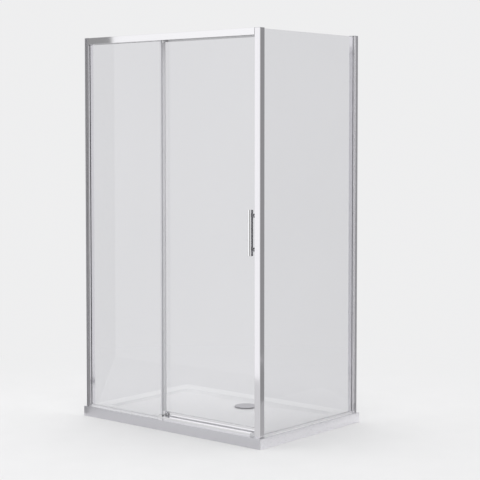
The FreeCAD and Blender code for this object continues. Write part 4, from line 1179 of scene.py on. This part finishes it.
@dataclass(frozen=True)
class Card:
    """Glowing grey card that only reflections show.

    Attributes:
        name: Card name.
        spots: Its four corners on the floor, or the two ends of one that stands.
        tone: Grey of the card, linear.
        height: Top of a standing card.
        lift: Height of the card's foot over the floor.
        cool: Blue of the card over its red and green.
    """

    name: str
    spots: tuple[Spot, ...]
    tone: float
    height: float = 0.0
    lift: float = 3.0 * MM
    cool: float = 1.01

    def corners(self) -> list[Place]:
        """Find the card's corners.

        Returns:
            Four points in order round the card.
        """
        foot = [(*spot, self.lift) for spot in self.spots]
        if not self.height:
            return foot
        return foot + [(*spot, self.height) for spot in reversed(self.spots)]

    def put(self) -> None:
        """Put the card in its place."""
        mesh = bpy.data.meshes.new(self.name)
        mesh.from_pydata(self.corners(), [], [(0, 1, 2, 3)])
        material, shader, tree = start_material(self.name)
        glow = tree.nodes.new("ShaderNodeEmission")
        glow.inputs["Color"].default_value = (self.tone, self.tone, self.tone * self.cool, 1.0)
        tree.nodes.remove(shader)
        tree.links.new(glow.outputs[0], tree.nodes["Material Output"].inputs[0])
        mesh.materials.append(material)
        piece = bpy.data.objects.new(self.name, mesh)
        bpy.context.scene.collection.objects.link(piece)
        for ray in ("camera", "diffuse", "transmission", "shadow", "volume_scatter"):
            setattr(piece, f"visible_{ray}", False)


LAMPS = (
    Softbox("key_softbox", (-2.79, -4.68, 1.55), (0.0, -0.4, 1.3), 2.9, 4.2, 48.0),
    Softbox("top_softbox", (0.4, -0.4, 4.6), (0.0, 0.0, 0.0), 3.0, 3.0, 59.0),
)
# Y of the line on which the front cards stand, and of the near edge of those on the floor
CARD_LINE = -1.74
CARD_NEAR = -0.43
CARDS = (
    Card("front_card", ((-1.775, CARD_LINE), (-0.20, CARD_LINE)), 1.04, 2.5),
    Card("left_card", ((-3.80, CARD_LINE), (-1.785, CARD_LINE)), 0.33, 2.5),
    Card(
        "left_floor_card",
        ((-0.75, CARD_NEAR), (-0.60, CARD_NEAR), (-1.785, CARD_LINE), (-3.80, CARD_LINE)),
        0.30,
    ),
    Card(
        "front_floor_card",
        ((-0.59, CARD_NEAR), (0.60, CARD_NEAR), (0.60, CARD_LINE), (-1.775, CARD_LINE)),
        0.71,
    ),
    Card("right_card", ((0.88, 0.79), (7.20, 4.40)), 0.31, 5.0),
    Card("dark_front_card", ((-0.10, -2.46), (1.55, -2.31)), 0.05, 2.3),
    Card("right_floor_card", ((1.25, 1.00), (1.25, -0.05), (2.12, 0.60), (2.12, 1.50)), 0.30),
    Card("side_floor_card", ((0.74, 0.70), (0.74, -0.36), (1.24, -0.06), (1.24, 0.99)), 0.44),
)


@dataclass
class Studio:
    """Pale floor and surround, soft lamps, cards that show in the metal, and the camera.

    Attributes:
        pale: Linear tone of what lies behind the object.
        ground: Linear tone of the floor, which the lamps light to about the tone behind it.
        ground_spread: Share by which the floor's tone varies.
        fill: Strength of the surround as a lamp.
        floor_radius: Radius of the floor disc.
        floor_sides: Number of its sides.
        fade: Distances between which the floor melts into the surround.
        focal_length: Focal length in millimetres on a sensor 36 mm wide.
        lens_shift: Vertical shift of the lens.
        camera_place: Place of the camera.
        camera_tilt: Tilt from looking straight down, in degrees.
        camera_turn: Turn about the vertical, in degrees.
    """

    pale: Colour = (0.86, 0.86, 0.865)
    ground: Colour = (0.775, 0.775, 0.78)
    ground_spread: float = 0.015
    fill: float = 0.96
    floor_radius: float = 14.0
    floor_sides: int = 96
    fade: tuple[float, float] = (0.75, 2.4)
    focal_length: float = 100.8
    lens_shift: float = -0.080
    camera_place: Place = (4.559, -5.212, 1.493)
    camera_tilt: float = 87.0
    camera_turn: float = 40.32

    def build(self) -> None:
        """Set up the whole studio."""
        self.surround()
        self.floor()
        for lamp in LAMPS:
            lamp.hang()
        for card in CARDS:
            card.put()
        self.camera()

    def surround(self) -> None:
        """Uniform surround that is pale to the eye and a soft lamp to the rest."""
        world = bpy.data.worlds.new("surround")
        world.use_nodes = True
        tree = world.node_tree
        lamp = tree.nodes["Background"]
        lamp.inputs["Color"].default_value = (1.0, 1.0, 1.0, 1.0)
        lamp.inputs["Strength"].default_value = self.fill
        seen = tree.nodes.new("ShaderNodeBackground")
        seen.inputs["Color"].default_value = (*self.pale, 1.0)
        seen.inputs["Strength"].default_value = 1.0
        mix = tree.nodes.new("ShaderNodeMixShader")
        tree.links.new(sight(tree), mix.inputs[0])
        tree.links.new(lamp.outputs[0], mix.inputs[1])
        tree.links.new(seen.outputs[0], mix.inputs[2])
        tree.links.new(mix.outputs[0], tree.nodes["World Output"].inputs[0])
        bpy.context.scene.world = world

    def floor(self) -> None:
        """Round floor that keeps the object's shadow and melts into the surround."""
        form = bmesh.new()
        bmesh.ops.create_circle(
            form, cap_ends=True, segments=self.floor_sides, radius=self.floor_radius
        )
        mesh = bpy.data.meshes.new("floor")
        form.to_mesh(mesh)
        form.free()
        material, shader, tree = start_material("pale_floor")
        shader.inputs["Roughness"].default_value = 0.9
        shader.inputs["Specular IOR Level"].default_value = 0.1
        texture = place_group(tree, MOULDED)
        low = toned(self.ground, 1.0 - self.ground_spread)
        tone = spread_colour(tree, texture.outputs["Slow"], low, self.ground)
        tree.links.new(tone, shader.inputs["Base Color"])
        place = tree.nodes.new("ShaderNodeTexCoord")
        reach = tree.nodes.new("ShaderNodeVectorMath")
        reach.operation = "LENGTH"
        tree.links.new(place.outputs["Object"], reach.inputs[0])
        fade = tree.nodes.new("ShaderNodeMapRange")
        fade.interpolation_type = "SMOOTHSTEP"
        fade.inputs["From Min"].default_value, fade.inputs["From Max"].default_value = self.fade
        tree.links.new(reach.outputs["Value"], fade.inputs["Value"])
        glow = tree.nodes.new("ShaderNodeEmission")
        glow.inputs["Color"].default_value = (*self.pale, 1.0)
        glow.inputs["Strength"].default_value = 1.0
        mix = tree.nodes.new("ShaderNodeMixShader")
        tree.links.new(maths(tree, "MULTIPLY", fade.outputs[0], sight(tree)), mix.inputs[0])
        tree.links.new(shader.outputs[0], mix.inputs[1])
        tree.links.new(glow.outputs[0], mix.inputs[2])
        tree.links.new(mix.outputs[0], tree.nodes["Material Output"].inputs[0])
        mesh.materials.append(material)
        piece = bpy.data.objects.new("floor", mesh)
        bpy.context.scene.collection.objects.link(piece)

    def camera(self) -> None:
        """Stand the camera where the photograph was taken."""
        lens = bpy.data.cameras.new("camera")
        lens.sensor_width = 36.0
        lens.lens = self.focal_length
        lens.shift_y = self.lens_shift
        lens.clip_end = 60.0
        holder = bpy.data.objects.new("camera", lens)
        holder.location = self.camera_place
        tilt, turn = math.radians(self.camera_tilt), math.radians(self.camera_turn)
        holder.rotation_euler = Euler((tilt, 0.0, turn))
        bpy.context.scene.collection.objects.link(holder)
        bpy.context.scene.camera = holder
        bpy.context.scene.view_settings.view_transform = "Standard"


def sight(tree: bpy.types.NodeTree) -> bpy.types.NodeSocket:
    """Add a mask of the rays that the eye, gloss or glass sends.

    Args:
        tree: Tree that gets the nodes.

    Returns:
        One for camera, glossy and transmission rays, else zero.
    """
    path = tree.nodes.new("ShaderNodeLightPath")
    gloss = maths(tree, "MAXIMUM", path.outputs["Is Camera Ray"], path.outputs["Is Glossy Ray"])
    return maths(tree, "MAXIMUM", gloss, path.outputs["Is Transmission Ray"])


def main() -> None:
    """Dress every sub-assembly and set up the studio."""
    logging.basicConfig(level=logging.INFO, format="%(name)s: %(message)s")
    panes = Panes()
    for assembly in (Tray(), Waste(), EndProfiles(), CornerPost(), Header(), panes, SillAndGuide()):
        assembly.build()
    Door().build(panes)
    Rollers().build()
    Studio().build()


if __name__ == "__main__":
    main()
